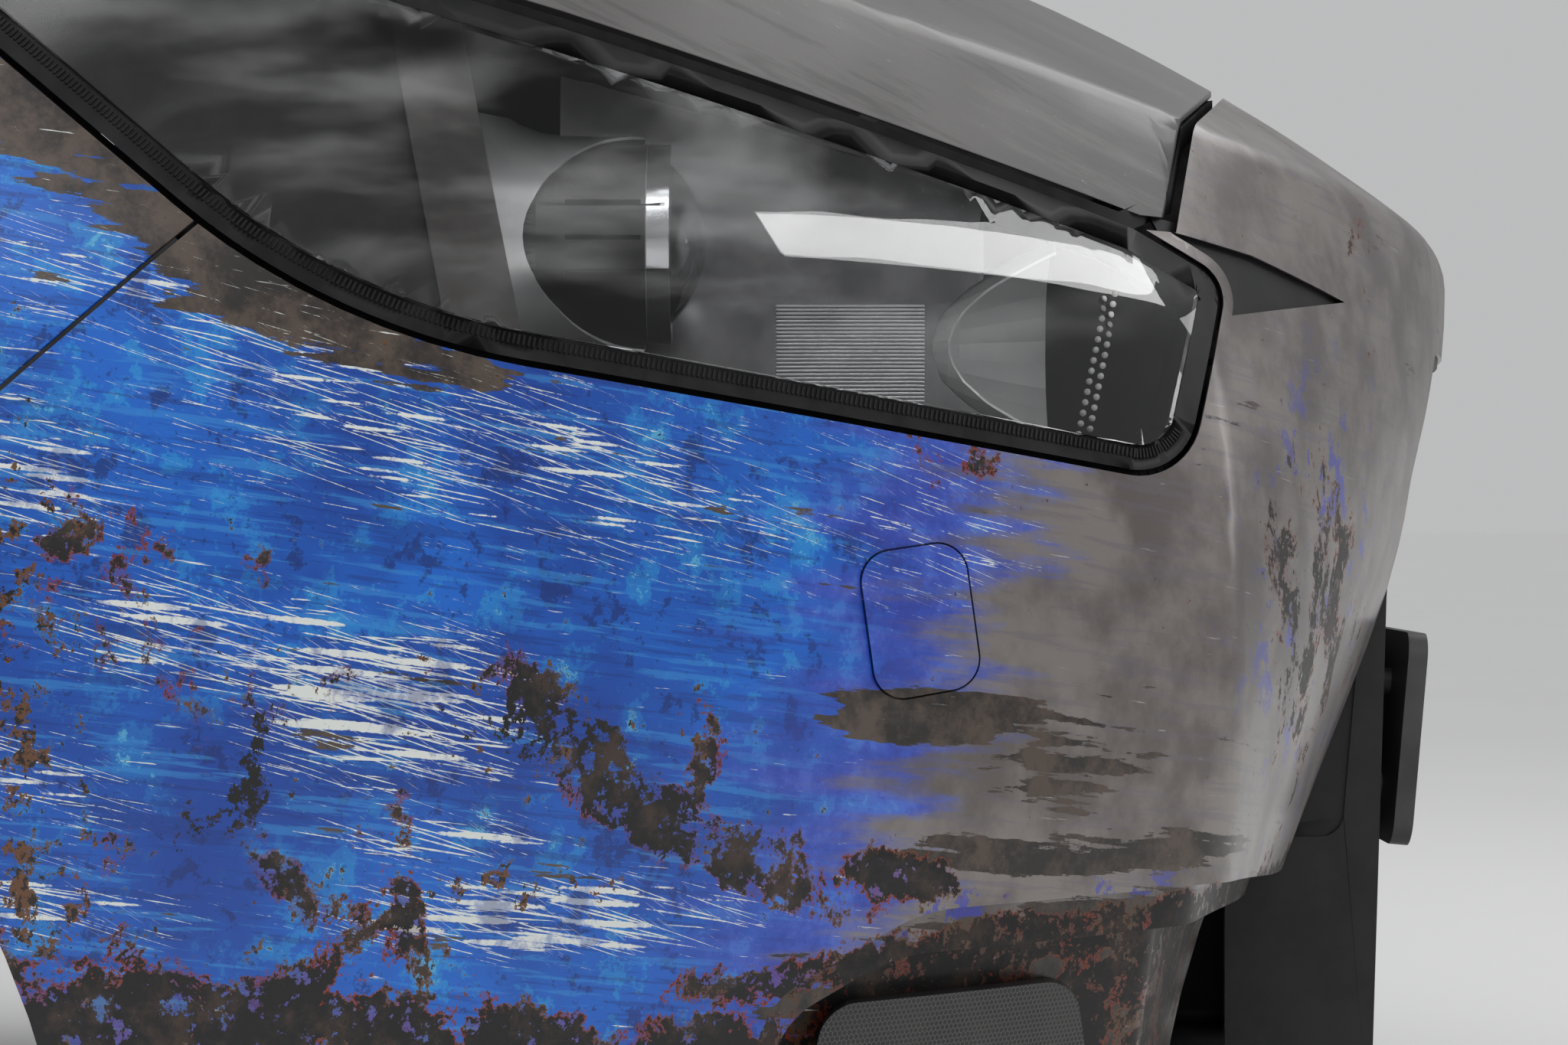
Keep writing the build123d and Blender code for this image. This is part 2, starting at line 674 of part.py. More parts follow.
ear_offset = ARM_WIDTH / 2 + EAR_GAP
rail_top_drop = FLANGE_DROP + SHEET + SEAT
foot_points = (
    (HINGE_Y - FOOT_LENGTH / 2, line_z(HINGE_Y - FOOT_LENGTH / 2) - rail_top_drop + SEAT),
    (HINGE_Y + FOOT_LENGTH / 2, line_z(HINGE_Y + FOOT_LENGTH / 2) - rail_top_drop + SEAT),
)
foot_top = [(y, z + EAR_THICKNESS) for y, z in reversed(foot_points)]
ear_points = (*foot_points, (HINGE_Y + EYE_RADIUS, HINGE_Z), (HINGE_Y - EYE_RADIUS, HINGE_Z))
with BuildPart() as hinge_bracket:
    add(side_prism((*foot_points, *foot_top),
                   start=-HINGE_X - FOOT_HALF_WIDTH, end=-HINGE_X + FOOT_HALF_WIDTH))
    for inner in (-HINGE_X - ear_offset - EAR_THICKNESS, -HINGE_X + ear_offset):
        add(side_prism(ear_points, start=inner, end=inner + EAR_THICKNESS))
        with Locations((inner + EAR_THICKNESS / 2, HINGE_Y, HINGE_Z)):
            Cylinder(EYE_RADIUS, EAR_THICKNESS, rotation=(0, 90, 0))
    with Locations((-HINGE_X, HINGE_Y, HINGE_Z)):
        Cylinder(PIN_RADIUS, 2 * (ear_offset + EAR_THICKNESS) + PIN_RADIUS, rotation=(0, 90, 0))
export_pair(hinge_bracket.part, "hinge_bracket")


# Headlamps, all cut from the same outline
def lamp_back(shift):
    """Everything outboard of the housing's back wall, the wall moved inboard by shift."""
    (x0, y0), (x1, y1) = LAMP_BACK
    length = hypot(x1 - x0, y1 - y0)
    along = ((x1 - x0) / length, (y1 - y0) / length)
    inboard = (-along[1], along[0])
    past_x, past_y = along[0] * LAMP_BACK_REACH, along[1] * LAMP_BACK_REACH
    step_x, step_y = inboard[0] * shift, inboard[1] * shift
    rear = (x0 - past_x + step_x, y0 - past_y + step_y)
    front = (x1 + past_x + step_x, y1 + past_y + step_y)
    return plan_prism((rear, front, (-2 * SIDE_REACH, front[1]), (-2 * SIDE_REACH, rear[1])))


def lamp_chamber(wall):
    """The room inside the housing, wall away from the lamp's outline and its back wall."""
    with BuildPart() as chamber:
        add(lamp_prism(-wall))
        add(lamp_back(-wall), mode=Mode.INTERSECT)
        add(shifted(RIM_FLOOR, x=SEAT, z=-SEAT), mode=Mode.INTERSECT)
    return chamber.part


with BuildPart() as headlamp_lens:
    add(PANELS)
    add(lamp_prism(-RIM_WIDTH - SEAT), mode=Mode.INTERSECT)
export_pair(headlamp_lens.part, "headlamp_lens")

with BuildPart() as headlamp_rim:
    add(lamp_prism(0))
    add(lamp_prism(-RIM_WIDTH), mode=Mode.SUBTRACT)
    add(shifted(OUTER, x=RIM_SINK, y=RIM_SINK), mode=Mode.INTERSECT)
    add(RIM_FLOOR, mode=Mode.SUBTRACT)
export_pair(headlamp_rim.part, "headlamp_rim")

with BuildPart() as headlamp_housing:
    add(lamp_chamber(TRIM_WALL))
    add(shifted(lamp_chamber(2 * TRIM_WALL), x=-RIM_DEPTH), mode=Mode.SUBTRACT)
    add(lamp_chamber(2 * TRIM_WALL), mode=Mode.SUBTRACT)
export_pair(headlamp_housing.part, "headlamp_housing")

# Inside the lamp: every piece is trimmed to the room that the housing leaves
LAMP_INSIDE = lamp_chamber(2 * TRIM_WALL + SEAT)


def lamp_slab(rear_y, front_y, outer_x=-SIDE_REACH, inner_x=0):
    """A slab of the lamp's room between two cross planes."""
    with BuildPart() as slab:
        with Locations(((outer_x + inner_x) / 2, (rear_y + front_y) / 2, 0)):
            Box(inner_x - outer_x, rear_y - front_y, 2 * SIDE_REACH)
        add(LAMP_INSIDE, mode=Mode.INTERSECT)
    return slab.part


def round_about(x, z, profile):
    """A body of revolution about an axis along Y through (x, z); the profile's points are (radius, y)."""
    with BuildPart() as body:
        with BuildSketch(Plane.XY.offset(z)):
            with BuildLine():
                Polyline(*[(x + radius, y) for radius, y in profile], close=True)
            make_face()
        revolve(axis=Axis((x, 0, z), (0, 1, 0)))
    return body.part


# Bezel: the dark panel over the lamp's tail
with BuildPart() as headlamp_bezel:
    add(lamp_slab(0, SHROUD_Y + SEAT))
    add(shifted(OUTER, x=BEZEL_DEPTH), mode=Mode.INTERSECT)
    add(shifted(OUTER, x=BEZEL_DEPTH + TRIM_WALL), mode=Mode.SUBTRACT)
export_pair(headlamp_bezel.part, "headlamp_bezel")

# Shroud: the wall that carries the projector, with a bright hood round it
with BuildPart() as headlamp_shroud:
    add(lamp_slab(SHROUD_Y, SHROUD_Y - TRIM_WALL))
    add(round_about(PROJECTOR_X, PROJECTOR_Z, (
        (HOOD_RADIUS, SHROUD_Y), (HOOD_RADIUS, SHROUD_Y - HOOD_LENGTH),
        (HOOD_RADIUS + TRIM_WALL, SHROUD_Y - HOOD_LENGTH), (HOOD_RADIUS + TRIM_WALL, SHROUD_Y),
    )))
    add(LAMP_INSIDE, mode=Mode.INTERSECT)
    add(round_about(PROJECTOR_X, PROJECTOR_Z, (
        (0, SHROUD_Y + TRIM_WALL), (0, SHROUD_Y - 2 * TRIM_WALL),
        (BARREL_RADIUS + SEAT, SHROUD_Y - 2 * TRIM_WALL), (BARREL_RADIUS + SEAT, SHROUD_Y + TRIM_WALL),
    )), mode=Mode.SUBTRACT)
export_pair(headlamp_shroud.part, "headlamp_shroud")

# Projector: a barrel through the shroud with a collar behind it, and the dome lens in its mouth
barrel_front = PROJECTOR_FRONT_Y
barrel_rear = SHROUD_Y + COLLAR_LENGTH
with BuildPart() as projector_barrel:
    add(round_about(PROJECTOR_X, PROJECTOR_Z, (
        (PROJECTOR_LENS_RADIUS + SEAT, barrel_front), (BARREL_RADIUS, barrel_front),
        (BARREL_RADIUS, SHROUD_Y + SEAT), (BARREL_RADIUS + TRIM_WALL, SHROUD_Y + SEAT),
        (BARREL_RADIUS + TRIM_WALL, barrel_rear), (0, barrel_rear), (0, barrel_rear - TRIM_WALL),
        (BARREL_RADIUS - TRIM_WALL, barrel_rear - TRIM_WALL),
        (BARREL_RADIUS - TRIM_WALL, barrel_front + LENS_SEAT),
        (PROJECTOR_LENS_RADIUS + SEAT, barrel_front + LENS_SEAT),
    )))
    slot_y = (barrel_front + SHROUD_Y) / 2
    for row in range(-1, 2):
        with Locations((PROJECTOR_X - BARREL_RADIUS, slot_y, PROJECTOR_Z + row * FIN_PITCH)):
            Box(FIN_PITCH, BARREL_SLOT_LENGTH, FIN_SLOT, mode=Mode.SUBTRACT)
export_pair(projector_barrel.part, "projector_barrel")

with BuildPart() as projector_lens:
    with BuildSketch(Plane.XY.offset(PROJECTOR_Z)):
        with BuildLine():
            dome = SagittaArc((PROJECTOR_X - PROJECTOR_LENS_RADIUS, barrel_front),
                              (PROJECTOR_X + PROJECTOR_LENS_RADIUS, barrel_front), -PROJECTOR_DOME)
            Polyline(dome @ 1, (PROJECTOR_X + PROJECTOR_LENS_RADIUS, barrel_front + LENS_SEAT),
                     (PROJECTOR_X - PROJECTOR_LENS_RADIUS, barrel_front + LENS_SEAT), dome @ 0)
        make_face()
        with Locations((PROJECTOR_X + SIDE_REACH / 2, 0)):
            Rectangle(SIDE_REACH, 4 * SIDE_REACH, mode=Mode.INTERSECT)
    revolve(axis=Axis((PROJECTOR_X, 0, PROJECTOR_Z), (0, 1, 0)))
export_pair(projector_lens.part, "projector_lens")

# Main-beam reflector: a bowl open to the front, and the panel beside it that runs back to the shroud
def bowl_form(radius, depth):
    """The room inside a bowl of flat rings, whose rim stands at BEAM_FRONT_Y."""
    rings = [(radius * sqrt(1 - step / BOWL_RINGS), BEAM_FRONT_Y + depth * step / BOWL_RINGS)
             for step in range(BOWL_RINGS + 1)]
    return round_about(BEAM_X, BEAM_Z, [(0, BEAM_FRONT_Y), *rings])


panel_front = BEAM_FRONT_Y + BEAM_DEPTH / 2
panel_rear = SHROUD_Y - TRIM_WALL - SEAT
with BuildPart() as beam_reflector:
    add(bowl_form(BEAM_RADIUS, BEAM_DEPTH))
    add(bowl_form(BEAM_RADIUS - TRIM_WALL, BEAM_DEPTH - TRIM_WALL), mode=Mode.SUBTRACT)
    with Locations((BEAM_X, BEAM_FRONT_Y, BEAM_LOWEST_Z)):
        Box(SIDE_REACH, SIDE_REACH, SIDE_REACH, align=(Align.CENTER, Align.CENTER, Align.MIN),
            mode=Mode.INTERSECT)
export_pair(beam_reflector.part, "beam_reflector")

with BuildPart() as headlamp_panel:
    add(lamp_slab(panel_rear, panel_front, PANEL_X - TRIM_WALL, PANEL_X))
    add(bowl_form(BEAM_RADIUS + SEAT, BEAM_DEPTH + SEAT), mode=Mode.SUBTRACT)
export_pair(headlamp_panel.part, "headlamp_panel")

# Inner wings: a wheelhouse wall on a shelf beside the chassis leg, and a box rail under the wing's flange
rail_stations = (APRON_FRONT_Y, 0, WING_END_Y)
rail_top = [(y, line_z(y) - rail_top_drop) for y in rail_stations]
shelf_end_y = -FLANGE_THICKNESS - SEAT
with BuildPart() as apron:
    add(side_prism(((WING_END_Y, SHELF_Z), (APRON_FRONT_Y, SHELF_Z), *rail_top),
                   start=-APRON_X - SHEET, end=-APRON_X))
    add(side_prism(((shelf_end_y, SHELF_Z), (shelf_end_y, SHELF_Z + SHEET),
                    (APRON_FRONT_Y, SHELF_Z + SHEET), (APRON_FRONT_Y, SHELF_Z)),
                   start=-APRON_X, end=-LEG_X - LEG_SIZE[0] / 2 - SEAT))
    add(line_band(rail_top_drop, RAIL_HEIGHT, APRON_FRONT_Y, -RAIL_OUTER_X, -APRON_X))
    add(line_band(rail_top_drop + SHEET, RAIL_HEIGHT - 2 * SHEET, APRON_FRONT_Y, -RAIL_OUTER_X + SHEET,
                  -APRON_X - SHEET), mode=Mode.SUBTRACT)
export_pair(apron.part, "apron")

# Chassis legs: box tubes from the rear flanges to the back of the crash beam
beam_centre_y = BEAM_FACE_Y + BEAM_ARC_RADIUS
with BuildPart() as beam_back:
    with Locations((0, beam_centre_y, 0)):
        Cylinder(BEAM_ARC_RADIUS - BEAM_THICKNESS - SEAT, SIDE_REACH)
with BuildPart() as chassis_leg:
    leg_width, leg_height = LEG_SIZE
    with BuildSketch(Plane.XZ.offset(FLANGE_THICKNESS)):
        with Locations((-LEG_X, 0)):
            Rectangle(leg_width, leg_height)
            Rectangle(leg_width - 2 * LEG_WALL, leg_height - 2 * LEG_WALL, mode=Mode.SUBTRACT)
    extrude(amount=-BEAM_FACE_Y)
    add(beam_back.part, mode=Mode.INTERSECT)
    with BuildSketch(Plane.XZ):
        with Locations((-LEG_X, 0)):
            RectangleRounded(FLANGE_SIZE, FLANGE_SIZE, FLANGE_THICKNESS)
            with GridLocations(BOLT_SPACING_X, BOLT_SPACING_Z, 2, 2):
                Circle(BOLT_HOLE_RADIUS, mode=Mode.SUBTRACT)
    extrude(amount=FLANGE_THICKNESS)
export_pair(chassis_leg.part, "chassis_leg")

# Crash beam: a box section bent to the bumper's sweep
with BuildPart() as crash_beam:
    for radius, low, high, mode in (
        (BEAM_ARC_RADIUS, BEAM_LOW_Z, BEAM_HIGH_Z, Mode.ADD),
        (BEAM_ARC_RADIUS - LEG_WALL, BEAM_LOW_Z + LEG_WALL, BEAM_HIGH_Z - LEG_WALL, Mode.SUBTRACT),
    ):
        thickness = BEAM_THICKNESS - 2 * (BEAM_ARC_RADIUS - radius)
        with BuildSketch(Plane.XY.offset(low)):
            with Locations((0, beam_centre_y)):
                Circle(radius)
                Circle(radius - thickness, mode=Mode.SUBTRACT)
            Rectangle(2 * BEAM_HALF_LENGTH, -2 * BEAM_FACE_Y, mode=Mode.INTERSECT)
        extrude(amount=high - low, mode=mode)
export(crash_beam.part, "crash_beam")

# Front carrier: a ring between the chassis legs, its top bar reaching out to the lamps
carrier_half = LEG_X - LEG_SIZE[0] / 2 - SEAT
with BuildPart() as front_carrier:
    with BuildSketch(Plane.XZ.offset(-CARRIER_Y - CARRIER_DEPTH / 2)):
        with Locations((0, (CARRIER_LOW_Z + CARRIER_HIGH_Z) / 2)):
            Rectangle(2 * carrier_half, CARRIER_HIGH_Z - CARRIER_LOW_Z)
            Rectangle(2 * RADIATOR_HALF_WIDTH + 2 * SEAT, CARRIER_HIGH_Z - CARRIER_LOW_Z - 2 * CARRIER_BAR,
                      mode=Mode.SUBTRACT)
        with Locations((0, CARRIER_HIGH_Z - CARRIER_BAR / 2)):
            Rectangle(2 * APRON_X, CARRIER_BAR)
    extrude(amount=CARRIER_DEPTH)
    add(both_sides(lamp_back(SEAT - TRIM_WALL)), mode=Mode.SUBTRACT)
export(front_carrier.part, "front_carrier")

# Radiator: core between two side tanks
with BuildPart() as radiator:
    height = CARRIER_HIGH_Z - CARRIER_LOW_Z - 2 * CARRIER_BAR - 2 * SEAT
    with Locations((0, CARRIER_Y, (CARRIER_LOW_Z + CARRIER_HIGH_Z) / 2)):
        Box(2 * RADIATOR_HALF_WIDTH - 2 * TANK_WIDTH, RADIATOR_DEPTH - 2 * SKIN, height)
        with GridLocations(2 * RADIATOR_HALF_WIDTH - TANK_WIDTH, 0, 2, 1):
            Box(TANK_WIDTH, RADIATOR_DEPTH, height)
export(radiator.part, "radiator")
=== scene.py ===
"""Looks of a rally hatchback's front end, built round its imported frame. Metres, +Z up, nose towards -Y."""
import json
from math import acos, cos, pi, radians, sin, sqrt, tan

import bpy
import numpy as np
from mathutils import Matrix, Vector


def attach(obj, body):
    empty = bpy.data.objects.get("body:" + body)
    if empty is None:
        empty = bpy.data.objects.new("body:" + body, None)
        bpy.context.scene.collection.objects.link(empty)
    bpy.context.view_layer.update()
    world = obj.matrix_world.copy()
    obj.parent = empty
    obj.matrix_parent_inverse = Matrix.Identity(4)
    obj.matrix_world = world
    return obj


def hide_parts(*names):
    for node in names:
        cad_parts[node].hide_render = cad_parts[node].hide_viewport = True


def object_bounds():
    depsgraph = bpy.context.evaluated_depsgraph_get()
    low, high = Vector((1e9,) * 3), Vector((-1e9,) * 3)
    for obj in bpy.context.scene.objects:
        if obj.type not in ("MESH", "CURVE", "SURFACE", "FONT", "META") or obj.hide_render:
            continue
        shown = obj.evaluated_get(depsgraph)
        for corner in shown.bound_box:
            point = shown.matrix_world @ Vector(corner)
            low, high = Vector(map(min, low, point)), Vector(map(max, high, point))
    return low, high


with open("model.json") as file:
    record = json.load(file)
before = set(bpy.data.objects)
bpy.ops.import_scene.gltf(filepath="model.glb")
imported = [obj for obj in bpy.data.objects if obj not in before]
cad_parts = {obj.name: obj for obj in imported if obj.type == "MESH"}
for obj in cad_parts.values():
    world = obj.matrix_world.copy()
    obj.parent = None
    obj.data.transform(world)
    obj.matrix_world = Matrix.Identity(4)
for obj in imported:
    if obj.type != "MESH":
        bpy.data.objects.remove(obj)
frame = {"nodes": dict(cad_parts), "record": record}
cad_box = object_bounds()
nodes = frame["nodes"]

# The photograph's view: a level camera beside the car's right-hand front corner
CAMERA_PLACE = (-2.16, -0.686, 0.118)
CAMERA_LENS = 85
CAMERA_SENSOR = 36

# Edges sharper than this stay sharp
SMOOTH_ANGLE = radians(28)
# The car's sides, with the sign of x on each
SIDES = (("right", -1), ("left", 1))
# Height over width of a cell in a honeycomb's grid
CELL_RISE = sqrt(3)
# How far the side's pattern runs on along y and x where the nose turns in
RUN_Y, RUN_X = 0.86, 0.5


def add_node(tree, kind, **values):
    """Adds a node and sets its properties."""
    node = tree.nodes.new(kind)
    for key, value in values.items():
        setattr(node, key, value)
    return node


class Shades:
    """Builds one material's node tree, a step at a time."""

    def __init__(self, name):
        self.material = bpy.data.materials.new(name)
        self.material.use_nodes = True
        self.tree = self.material.node_tree
        self.shader = self.tree.nodes["Principled BSDF"]
        self.place = self.tree.nodes.new("ShaderNodeTexCoord").outputs["Object"]

    def new(self, kind, **values):
        return add_node(self.tree, kind, **values)

    def plug(self, socket, value):
        """Links another node's output to a socket, or writes a plain value on it."""
        if isinstance(value, bpy.types.NodeSocket):
            self.tree.links.new(value, socket)
        elif socket.type == "RGBA" and len(value) == 3:
            socket.default_value = (*value, 1)
        else:
            socket.default_value = value

    def set(self, **values):
        """Sets the shader's own inputs by name."""
        for key, value in values.items():
            self.plug(self.shader.inputs[key.replace("_", " ")], value)

    def joined(self, *values):
        """A place from three numbers."""
        node = self.new("ShaderNodeCombineXYZ")
        for socket, value in zip(node.inputs, values):
            self.plug(socket, value)
        return node.outputs[0]

    def mapped(self, size, turn=0.0, move=(0, 0, 0), where=None):
        """The place, moved, turned about its third axis and measured in lengths of size."""
        node = self.new("ShaderNodeMapping", vector_type="TEXTURE")
        self.plug(node.inputs["Vector"], where or self.place)
        node.inputs["Location"].default_value = move
        node.inputs["Rotation"].default_value[2] = turn
        node.inputs["Scale"].default_value = size
        return node.outputs["Vector"]

    def noise(self, size, detail=4, rough=0.55, where=None, warp=0.0):
        """Noise from 0 to 1 whose lumps are about size metres across."""
        node = self.new("ShaderNodeTexNoise")
        self.plug(node.inputs["Vector"], where or self.place)
        node.inputs["Scale"].default_value = 1 / size
        node.inputs["Detail"].default_value = detail
        node.inputs["Roughness"].default_value = rough
        node.inputs["Distortion"].default_value = warp
        return node.outputs["Fac"]

    def flat_noise(self, size, detail, rough, where):
        """Noise in the plane of the first two coordinates."""
        node = self.new("ShaderNodeTexNoise", noise_dimensions="2D")
        self.plug(node.inputs["Vector"], where)
        node.inputs["Scale"].default_value = 1 / size
        node.inputs["Detail"].default_value = detail
        node.inputs["Roughness"].default_value = rough
        return node.outputs["Fac"]

    def cells(self, where):
        """Distance from the nearest of scattered points in the plane of the first two coordinates."""
        node = self.new("ShaderNodeTexVoronoi", voronoi_dimensions="2D")
        self.plug(node.inputs["Vector"], where)
        node.inputs["Scale"].default_value = 1
        return node.outputs["Distance"]

    def lattice(self, where, offset):
        """Distance from the nearest point of a grid one unit by root three."""
        value = where
        for kind, other in (("ADD", (offset, offset, 0)), ("FRACTION", None), ("SUBTRACT", (0.5, 0.5, 0)),
                            ("MULTIPLY", (1, CELL_RISE, 0))):
            node = self.new("ShaderNodeVectorMath", operation=kind)
            self.plug(node.inputs[0], value)
            if other:
                self.plug(node.inputs[1], other)
            value = node.outputs["Vector"]
        length = self.new("ShaderNodeVectorMath", operation="LENGTH")
        self.plug(length.inputs[0], value)
        return length.outputs["Value"]

    def span(self, value, low, high):
        """0 at low, 1 at high, smooth between."""
        node = self.new("ShaderNodeMapRange", interpolation_type="SMOOTHSTEP", clamp=True)
        self.plug(node.inputs["Value"], value)
        self.plug(node.inputs["From Min"], low)
        self.plug(node.inputs["From Max"], high)
        return node.outputs["Result"]

    def math(self, kind, a, b=0.0):
        node = self.new("ShaderNodeMath", operation=kind)
        self.plug(node.inputs[0], a)
        self.plug(node.inputs[1], b)
        return node.outputs[0]

    def add(self, *values):
        total = values[0]
        for value in values[1:]:
            total = self.math("ADD", total, value)
        return total

    def times(self, *values):
        total = values[0]
        for value in values[1:]:
            total = self.math("MULTIPLY", total, value)
        return total

    def spared(self, value, amount=1.0):
        """1 where value is 0, less by amount where it is 1."""
        return self.add(1.0, self.times(value, -amount))

    def most(self, *values):
        total = values[0]
        for value in values[1:]:
            total = self.math("MAXIMUM", total, value)
        return total

    def mix(self, amount, first, second):
        node = self.new("ShaderNodeMix", data_type="RGBA")
        self.plug(node.inputs["Factor"], amount)
        self.plug(node.inputs[6], first)
        self.plug(node.inputs[7], second)
        return node.outputs[2]

    def axis(self, letter):
        """One coordinate of the place, in metres."""
        node = self.new("ShaderNodeSeparateXYZ")
        self.plug(node.inputs[0], self.place)
        return node.outputs[letter]

    def along(self, y, x):
        """How far along the car's skin a place lies, on the side and round the nose."""
        return self.add(self.times(y, RUN_Y), self.times(self.math("ABSOLUTE", x), RUN_X))

    def bump(self, height, depth):
        """Relief of depth metres from a height of 0 to 1."""
        node = self.new("ShaderNodeBump")
        node.inputs["Strength"].default_value = 1
        node.inputs["Distance"].default_value = depth
        self.plug(node.inputs["Height"], height)
        self.plug(self.shader.inputs["Normal"], node.outputs["Normal"])


# Where the wear lies on the car's side: middle (y, z), half length, half height, tilt in degrees and amount.
# White brush marks, black scabs, patches stripped of paint, paint kept on the bare nose, and rust flecks
BRUSHED = (
    (-0.490, 0.187, 0.13, 0.026, 17, 0.75),
    (-0.590, 0.140, 0.14, 0.036, 12, 0.75),
    (-0.490, 0.078, 0.07, 0.022, 8, 1.0),
    (-0.545, 0.052, 0.055, 0.034, 6, 1.15),
    (-0.600, -0.026, 0.08, 0.016, 3, 1.15),
    (-0.560, 0.004, 0.045, 0.009, 4, 1.0),
    (-0.420, 0.136, 0.05, 0.030, 13, 0.8),
    (-0.415, 0.030, 0.05, 0.020, 8, 0.75),
    (-0.770, 0.110, 0.10, 0.040, 18, 0.6),
    (-0.430, -0.015, 0.05, 0.016, 6, 0.8),
)
SCABBED = (
    (-0.640, 0.012, 0.092, 0.020, 31, 1.0),
    (-0.655, 0.030, 0.020, 0.034, 0, 0.9),
    (-0.590, 0.056, 0.036, 0.014, 42, 0.8),
    (-0.470, -0.066, 0.160, 0.040, 8, 1.2),
    (-0.620, -0.088, 0.150, 0.030, 6, 1.3),
    (-0.515, -0.010, 0.020, 0.020, 0, 0.9),
    (-0.925, 0.075, 0.040, 0.080, 0, 0.75),
    (-0.800, -0.052, 0.170, 0.015, -2, 1.4),
    (-0.860, -0.085, 0.120, 0.040, 0, 1.1),
    (-0.740, -0.070, 0.060, 0.022, 12, 1.2),
    (-0.735, -0.020, 0.030, 0.012, 20, 0.8),
)
STRIPPED = (
    (-0.430, 0.258, 0.060, 0.022, 22, 1.1),
    (-0.505, 0.206, 0.075, 0.020, 30, 1.2),
    (-0.550, 0.182, 0.040, 0.010, 24, 1.0),
    (-0.745, 0.042, 0.050, 0.012, 4, 1.2),
    (-0.800, 0.026, 0.040, 0.020, 4, 0.8),
    (-0.800, -0.014, 0.080, 0.010, 3, 1.0),
    (-0.830, -0.070, 0.150, 0.032, -2, 1.7),
    (-0.840, -0.140, 0.200, 0.060, 0, 1.2),
)
KEPT = (
    (-0.930, 0.080, 0.050, 0.100, 0, 1.0),
    (-0.780, -0.060, 0.160, 0.040, 0, 1.0),
)
RUSTED = (
    (-0.415, 0.060, 0.032, 0.110, 0, 1.0),
    (-0.425, -0.010, 0.040, 0.045, 10, 1.0),
    (-0.590, 0.046, 0.060, 0.040, 25, 0.7),
    (-0.590, -0.014, 0.050, 0.012, 4, 0.9),
    (-0.560, -0.075, 0.120, 0.020, 5, 0.8),
)

# Tones of the livery: sound blue paint
DEEP_BLUE, AZURE = (0.004, 0.055, 0.34), (0.006, 0.135, 0.60)
CYAN, PALE_CYAN = (0.02, 0.31, 0.68), (0.12, 0.50, 0.72)
NAVY, SPECK = (0.003, 0.022, 0.15), (0.003, 0.015, 0.08)
LIGHT_STREAK, DARK_STREAK = (0.04, 0.30, 0.70), (0.003, 0.03, 0.20)
# The nose
DARK_VIOLET, VIOLET, KEPT_BLUE = (0.035, 0.060, 0.42), (0.075, 0.115, 0.56), (0.045, 0.060, 0.44)
DARK_TAUPE, PALE_TAUPE, MAUVE = (0.125, 0.108, 0.102), (0.235, 0.212, 0.200), (0.15, 0.13, 0.16)
# Wear
UNDERCOAT, PALE_UNDERCOAT = (0.024, 0.020, 0.018), (0.090, 0.066, 0.052)
CHALK, GREY_CHALK = (0.72, 0.75, 0.72), (0.34, 0.32, 0.32)
RUST, OCHRE = (0.23, 0.030, 0.010), (0.13, 0.055, 0.022)
BLACK_CRUST, BROWN_CRUST, PIT = (0.0045, 0.0045, 0.005), (0.050, 0.030, 0.022), (0.012, 0.008, 0.007)
# How much wider scratches get where there are more of them
SCRATCH_REACH = 0.21


